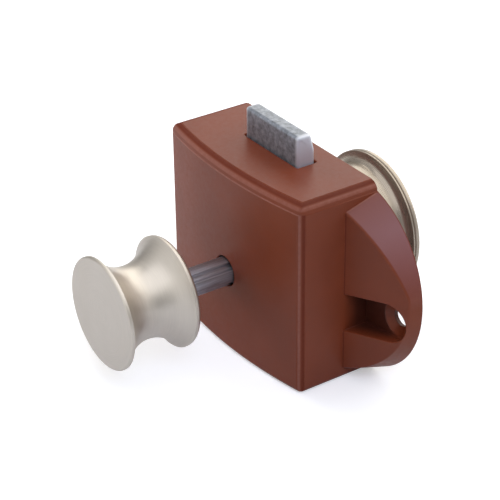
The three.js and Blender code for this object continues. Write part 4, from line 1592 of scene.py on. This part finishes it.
@dataclass
class Knob:
    """Push knob with a thin rim round its face, a hollow waist and a rear rim."""

    radius: float = 13.0
    length: float = 17.7
    rim: float = 0.9
    rear_rim: float = 1.3
    rear_radius: float = 12.9
    waist: float = 8.5
    edge: float = 0.5
    rear_edge: float = 0.9
    bore: float = 3.65
    bore_rim: float = 0.3
    bore_depth: float = 11.5
    grub_station: float = 8.6
    grub: float = 1.5
    grub_thread: float = 0.07
    grub_end: float = 0.35
    grub_gap: float = 0.3
    grub_inset: float = 0.5
    socket: float = 1.6
    spindle: float = 3.35

    def profile(self) -> np.ndarray:
        """Half section from the face to the bore's floor: flat, quarter round, circular hollow, round.

        Returns:
            Array of (radius, distance from the face).
        """
        rear = self.length - self.rear_rim
        hollow = (self.radius + self.rear_radius) / 2 - self.waist
        chord = rear - self.rim
        bend = ((chord / 2) ** 2 + hollow**2) / (2 * hollow)
        middle, centre = self.rim + chord / 2, self.waist + bend
        start = math.atan2(self.rim - middle, self.radius - centre) + TURN
        end = math.atan2(rear - middle, self.rear_radius - centre)
        edge, rear_edge, bore_rim = self.edge, self.rear_edge, self.bore_rim
        floor = self.length - self.bore_depth
        return np.vstack(
            (
                [[0, 0], [self.radius * 0.5, 0]],
                arc((self.radius - edge, edge), edge, -QUARTER, 0, 6),
                arc((centre, middle), bend, start, end, 48),
                arc((self.rear_radius - rear_edge, self.length - rear_edge), rear_edge, 0, QUARTER, 8),
                [[self.bore + bore_rim, self.length], [self.bore, self.length - bore_rim]],
                [[self.bore, floor], [0, floor]],
            )
        )

    def build(self, name: str, side: int, rear: float) -> bpy.types.Object:
        """Turns a knob and drills it for its grub screw.

        Args:
            name: the piece's name.
            side: -1 for the inner knob and 1 for the outer one.
            rear: place of its rear.

        Returns:
            The object.
        """
        profile = self.profile()
        profile[:, 1] = rear + side * (self.length - profile[:, 1])
        knob = turned(name, profile, 160, looped=False)
        outline = circle((0, rear + side * self.grub_station), self.grub + self.grub_gap, 40)
        return worked(knob, Join.CUT, carried("drilling", outline, Way.UP, -self.radius, -self.spindle))

    def grub_screw(self, name: str, side: int, rear: float) -> bpy.types.Object:
        """The grub screw under a knob's waist, with a six-sided socket in its lower end.

        Args:
            name: the piece's name.
            side: -1 for the inner knob and 1 for the outer one.
            rear: place of the knob's rear.

        Returns:
            The object.
        """
        place = rear + side * self.grub_station
        foot, top = -(self.spindle + self.grub_gap), self.grub_inset - self.waist
        thread, waves = threaded(foot - 0.3, top + 0.3, self.grub, self.grub_thread, 30, 5)
        end = self.grub - self.grub_end
        middle = np.column_stack((waves, thread))
        profile = np.vstack(([[0, foot], [end, foot]], middle, [[end, top], [0, top]]))
        screw = turned(name, profile, 40, looped=False, way=Way.UP, centre=(0.0, place, 0.0))
        socket = circle((0, place), self.grub / 2, 6)
        return worked(screw, Join.CUT, carried("socket", socket, Way.UP, top - 1, top + self.socket))


@dataclass
class Spindle:
    """Drawn bar with four grooves along it, and the pin hole for the slider."""

    radius: float = 3.35
    front: float = -48.45
    rear: float = 14.55
    grooves: int = 4
    groove_radius: float = 0.95
    groove_depth: float = 0.75
    edge: float = 0.25
    pin_place: float = -5.6
    pin_hole: float = 1.3

    def build(self) -> bpy.types.Object:
        """Draws the bar: its radius is the lesser of the round's and of each groove's near side.

        The radius is then evened a little over its neighbours, which softens the grooves' edges.

        Returns:
            The object.
        """
        angle = np.linspace(0, TURN, 240, endpoint=False)
        pitch = TURN / self.grooves
        off = (angle % pitch) - pitch / 2
        middle = self.radius + self.groove_radius - self.groove_depth
        reach = np.maximum(self.groove_radius**2 - (middle * np.sin(off)) ** 2, 0)
        near = np.where(reach > 0, middle * np.cos(off) - np.sqrt(reach), self.radius)
        radius = np.minimum(near, self.radius)
        weights = np.array([1, 2, 3, 2, 1]) / 9
        radius = np.convolve(np.concatenate((radius[-2:], radius, radius[:2])), weights, "valid")
        outline = np.column_stack((radius * np.cos(angle), radius * np.sin(angle)))
        bar = carried("spindle_shown", outline, Way.THROUGH, self.front, self.rear, self.edge, 3)
        hole = circle((self.pin_place, 0), self.pin_hole, 32)
        side = self.radius + 1
        return worked(bar, Join.CUT, carried("pin hole", hole, Way.ACROSS, -side, side))


@dataclass
class Bolt:
    """Cast bolt: a head with a bevel, as high and as deep as given, on two legs with sloping slots.

    A slot leads the drive pin from its place at rest, back by the over-press and on by the slide,
    while the bolt goes through its travel.
    """

    half: float = 10.0
    front: float = -9.9
    thickness: float = 4.7
    top: float = 33.5
    head_bottom: float = 14.0
    bevel: tuple[float, float] = (4.0, 1.1)
    end_round: float = 0.75
    top_round: float = 0.8
    foot_round: float = 0.2
    leg: float = 1.6
    leg_corner: float = 0.5
    leg_edge: float = 0.15
    leg_front: float = -20.05
    leg_rear: float = -1.9
    leg_low: float = -3.56
    leg_high: float = 21.0
    slot: float = 1.6
    pin_place: float = -15.43
    over_press: float = 0.8
    travel: float = 7.0
    slide: float = 10.0

    @property
    def back(self) -> float:
        """Place of the head's back."""
        return self.front + self.thickness

    def build(self) -> bpy.types.Object:
        """Casts the bolt and cuts the slots of its legs.

        Returns:
            The object.
        """
        high, deep = self.bevel
        corners = np.array(
            [
                [self.front, self.head_bottom],
                [self.back, self.head_bottom],
                [self.back, self.top - high],
                [self.back - deep, self.top],
                [self.front, self.top],
            ]
        )
        section = softened(corners, [self.foot_round] * 2 + [self.top_round] * 3, 5)
        head = carried("latch_bolt_shown", section, Way.ACROSS, -self.half, self.half, self.end_round, 6)
        leg = rectangle((self.leg_front, self.leg_rear), (self.leg_low, self.leg_high))
        outline = softened(leg, self.leg_corner, 4)
        for side in (-1, 1):
            across = sorted((side * (self.half - self.leg), side * self.half))
            worked(head, Join.ADD, carried("leg", outline, Way.ACROSS, *across, self.leg_edge, 3))
        rise = self.travel / self.slide
        start = (self.pin_place - self.over_press, -self.over_press * rise)
        end = (self.pin_place + self.slide, self.travel)
        lean = math.atan2(end[1] - start[1], end[0] - start[0])
        slot = np.vstack(
            (
                arc(end, self.slot, lean - QUARTER, lean + QUARTER, 16),
                arc(start, self.slot, lean + QUARTER, lean + 3 * QUARTER, 16),
            )
        )
        return worked(head, Join.CUT, carried("slots", slot, Way.ACROSS, -self.half - 1, self.half + 1))


@dataclass
class Rosette:
    """Flange on the outside of the door and its sleeve through the door.

    The groove round the flange has a depth and a width.
    """

    inner: float = 13.5
    sleeve: float = 14.7
    flange: float = 17.1
    seat: float = 18.0
    thickness: float = 1.9
    front: float = 0.3
    edge: float = 0.7
    groove: tuple[float, float] = (0.35, 0.45)
    root: float = 2.0
    fine: float = 0.15
    groove_round: float = 0.08
    face_round: float = 0.55

    def build(self) -> bpy.types.Object:
        """Turns the rosette, with a hollow root under the flange and a fine groove round its edge.

        Returns:
            The object.
        """
        depth, width = self.groove
        face = self.seat + self.thickness
        middle = self.seat + (self.thickness - self.edge) / 2
        corners = np.array(
            [
                [self.inner, self.front],
                [self.sleeve, self.front],
                [self.sleeve, self.seat],
                [self.flange, self.seat],
                [self.flange, middle - width / 2],
                [self.flange - depth, middle],
                [self.flange, middle + width / 2],
                [self.flange, face],
                [self.inner, face],
            ]
        )
        fine, rim = self.fine, self.edge / 2
        rounds = [fine, fine, self.root, fine, *[self.groove_round] * 3, self.face_round, rim]
        profile = softened(corners, rounds, 8)
        return turned("rosette_shown", profile, 160)


@dataclass
class Pins:
    """Drive pins, each between two distances from the middle, and the slider's cross pin."""

    drive: float = 1.3
    drive_ends: tuple[float, float] = (6.7, 10.0)
    drive_place: float = -15.43
    cross: float = 1.0
    cross_half: float = 6.2
    cross_place: float = -5.6
    edge: float = 0.2

    def pin(self, name: str, radius: float, low: float, high: float, place: float) -> bpy.types.Object:
        """A pin across the lock, turned from its radius and its rounded ends.

        Args:
            name: the piece's name.
            radius: its radius.
            low: where it starts across the lock.
            high: where it ends.
            place: its place along the spindle.

        Returns:
            The object.
        """
        corners = quarter_round(self.edge, 4)
        ends = np.column_stack((radius - corners[:, 0], corners[:, 1]))
        profile = np.vstack(([[0, low]], ends + (0, low), (ends * (1, -1))[::-1] + (0, high), [[0, high]]))
        return turned(name, profile, 48, looped=False, way=Way.ACROSS, centre=(0.0, place, 0.0))


@dataclass(frozen=True)
class Lamp:
    """A soft lamp.

    It has a place, a width and height in metres, a power in watts and a tint, and it may be kept
    out of reflections.
    """

    name: str
    place: tuple[float, float, float]
    size: tuple[float, float]
    power: float
    tint: tuple[float, float, float] = (1.0, 1.0, 1.0)
    mirrored: bool = True

    def build(self) -> bpy.types.Object:
        """Hangs the lamp so that it faces the lock.

        Returns:
            The lamp.
        """
        data = bpy.data.lights.new(self.name, "AREA")
        data.shape = "RECTANGLE"
        data.size, data.size_y = self.size
        data.energy = self.power
        data.color = self.tint
        lamp = linked(self.name, data)
        lamp.location = self.place
        lamp.visible_glossy = self.mirrored
        lamp.rotation_euler = (-Vector(self.place)).to_track_quat("-Z", "Y").to_euler()
        return lamp


@dataclass
class Studio:
    """Plain pale floor, soft lamps and the camera."""

    focal: float = 1739.4
    image: float = 500.0
    sensor: float = 36.0
    place: tuple[float, float, float] = (282.547, -206.685, 198.999)
    turn: tuple[float, float, float] = (1.9029, 0.9977, -0.5894)
    floor_height: float = -20.5
    floor_size: float = 2000.0
    floor_thickness: float = 10.0
    ambient: float = 0.08
    flank: float = 0.3
    flank_reach: tuple[float, float] = (0.65, 0.92)
    zenith: float = 0.5
    zenith_reach: tuple[float, float] = (0.6, 0.85)
    glow: float = 0.4
    floor_tone: float = 0.8
    lamps: tuple[Lamp, ...] = (
        Lamp("back", (-0.25, 1.3, 0.85), (3.0, 1.5), 22.5, (1.0, 0.97, 0.89)),
        Lamp("over", (0.3, -0.1, 1.45), (2.2, 2.2), 15.0, (0.98, 0.99, 1.03)),
        Lamp("cool", (1.05, -0.35, 1.0), (0.6, 0.6), 8.0, (0.82, 0.92, 1.2), False),
        Lamp("left", (-1.42, -0.45, 0.38), (0.9, 0.9), 20.0, mirrored=False),
        Lamp("front", (-0.75, -1.2, 0.45), (0.5, 0.5), 1.8, mirrored=False),
    )

    def camera(self) -> bpy.types.Object:
        """Camera from its place and the turn that takes the world's axes to right, down and ahead.

        Returns:
            The camera.
        """
        data = bpy.data.cameras.new("camera")
        data.sensor_width = self.sensor
        data.lens = self.focal / self.image * self.sensor
        data.clip_start, data.clip_end = 0.01, 100.0
        camera = linked("camera", data)
        turn = Vector(self.turn)
        rows = Matrix.Rotation(turn.length, 3, turn)
        axes = rows.transposed() @ Matrix.Diagonal((1.0, -1.0, -1.0))
        camera.matrix_world = Matrix.Translation(Vector(self.place) * MM) @ axes.to_4x4()
        bpy.context.scene.camera = camera
        return camera

    def surroundings(self) -> None:
        """World: white to the camera, dim as a light, and in reflections white with grey flanks and top.

        In reflections its strength falls from white as the direction's size across the lock goes
        over the flanks' reach, and so it does as the direction's height goes over the zenith's.
        """
        world = bpy.data.worlds.new("studio")
        bpy.context.scene.world = world
        world.use_nodes = True
        tree = Tree(world.node_tree)
        rays = tree.add("ShaderNodeLightPath").outputs
        way = tree.add("ShaderNodeTexCoord").outputs["Generated"]
        across, _, up = tree.add("ShaderNodeSeparateXYZ", way).outputs
        topped = tree.between(up, 1.0, self.zenith, *self.zenith_reach)
        flanked = tree.between(tree.reckoned("ABSOLUTE", across), topped, self.flank, *self.flank_reach)
        mirrored = tree.most(rays["Is Glossy Ray"], rays["Is Transmission Ray"])
        unseen = tree.between(mirrored, self.ambient, flanked, 0.0, 1.0)
        strength = tree.between(rays["Is Camera Ray"], unseen, 1.0, 0.0, 1.0)
        background = tree.add("ShaderNodeBackground", (1.0, 1.0, 1.0, 1.0), strength)
        tree.add("ShaderNodeOutputWorld", background.outputs[0])

    def floor(self) -> bpy.types.Object:
        """Pale floor: diffuse, with a little glow towards the camera so that it meets the world's white.

        Returns:
            The floor.
        """
        half = self.floor_size / 2
        low = self.floor_height - self.floor_thickness
        floor = carried("floor", rectangle((-half, half), (-half, half)), Way.UP, low, self.floor_height)
        recipe = Recipe("pale_floor")
        grain = recipe.noise(recipe.stretched((1, 1, 1)), scale=0.02, detail=2.0)
        tone = (self.floor_tone,) * 3
        colour = recipe.blend(grain, toned(tone, 0.99), toned(tone, 1.01))
        recipe.paint(colour, roughness=0.9, metallic=0.0, normal=None)
        recipe.shader.inputs["Specular IOR Level"].default_value = 0.0
        powers = (self.glow, 0.0)
        glow, none = (recipe.add("ShaderNodeEmission", None, power).outputs[0] for power in powers)
        seen = recipe.add("ShaderNodeLightPath").outputs["Is Camera Ray"]
        added = recipe.add("ShaderNodeMixShader", seen, none, glow).outputs[0]
        both = recipe.add("ShaderNodeAddShader", recipe.shader.outputs[0], added).outputs[0]
        recipe.feed(recipe.output.inputs["Surface"], both)
        floor.data.materials.append(recipe.material)
        return floor

    def build(self) -> None:
        """Sets up the studio."""
        bpy.context.scene.view_settings.view_transform = "Standard"
        self.surroundings()
        self.floor()
        for lamp in self.lamps:
            lamp.build()
        self.camera()
        log.info("studio: floor, %d lamps and the camera", len(self.lamps))


@dataclass
class Lock:
    """The whole lock, piece by piece."""

    case: Case = field(default_factory=Case)
    works: Works = field(default_factory=Works)
    bolt: Bolt = field(default_factory=Bolt)
    knob: Knob = field(default_factory=Knob)
    spindle: Spindle = field(default_factory=Spindle)
    rosette: Rosette = field(default_factory=Rosette)
    pins: Pins = field(default_factory=Pins)
    inner_rear: float = -37.2
    outer_rear: float = 3.3

    def build(self, finishes: Finishes) -> None:
        """Builds and dresses every piece.

        Args:
            finishes: the materials.
        """
        case, works, knob, pins = self.case, self.works, self.knob, self.pins
        body = case.build(works, self.bolt)
        body.name = "case_shown"
        finished(body, finishes.case_brown, "case", "brown_plastic", "case_shell")
        finished(works.back_plate(case), finishes.brown, "case", "brown_plastic", "back_plate")
        for number in range(4):
            node = f"plate_screw_{number + 1}"
            finished(works.plate_screw(case, number), finishes.steel, "case", "screw_steel", node)
        finished(self.rosette.build(), finishes.shaded_nickel, "case", "bronze_nickel", "rosette")
        finished(works.front_bush(case), finishes.black, "case", "black_plastic", "front_bush")
        finished(works.follower(), finishes.wire, "case", "spring_steel", "follower_wire")
        reach = ("spindle_assembly", works.spring_ends)
        finished(works.spring(), finishes.wire, "case", "spring_steel", "main_spring", stretch=reach)
        finished(self.bolt.build(), finishes.zinc, "bolt", "bolt_metal", "latch_bolt")
        finished(self.spindle.build(), finishes.bar, "spindle_assembly", "grey_bar", "spindle")
        for name, side, rear in (("inner", -1, self.inner_rear), ("outer", 1, self.outer_rear)):
            shape = knob.build(f"{name}_knob_shown", side, rear)
            finished(shape, finishes.nickel, "spindle_assembly", "satin_nickel", f"{name}_knob")
            screw = knob.grub_screw(f"{name}_grub_screw_shown", side, rear)
            finished(screw, finishes.steel, "spindle_assembly", "screw_steel", f"{name}_grub_screw")
        near, far = pins.drive_ends
        for name, low, high in (("left", -far, -near), ("right", near, far)):
            pin = pins.pin(f"{name}_drive_pin_shown", pins.drive, low, high, pins.drive_place)
            finished(pin, finishes.steel, "spindle_assembly", "screw_steel", f"{name}_drive_pin")
        half = pins.cross_half
        pin = pins.pin("slider_pin_shown", pins.cross, -half, half, pins.cross_place)
        finished(pin, finishes.steel, "spindle_assembly", "screw_steel", "slider_pin")
        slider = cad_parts["cam_slider"]
        slider.data.materials.clear()
        slider.data.materials.append(finishes.pale)
        log.info("cam_slider: the model's own mesh, in pale plastic")


def main() -> None:
    """Builds the studio and the lock."""
    logging.basicConfig(level=logging.INFO, format="%(message)s")
    Lock().build(Finishes())
    Studio().build()
    bpy.context.view_layer.update()


if __name__ == "__main__":
    main()
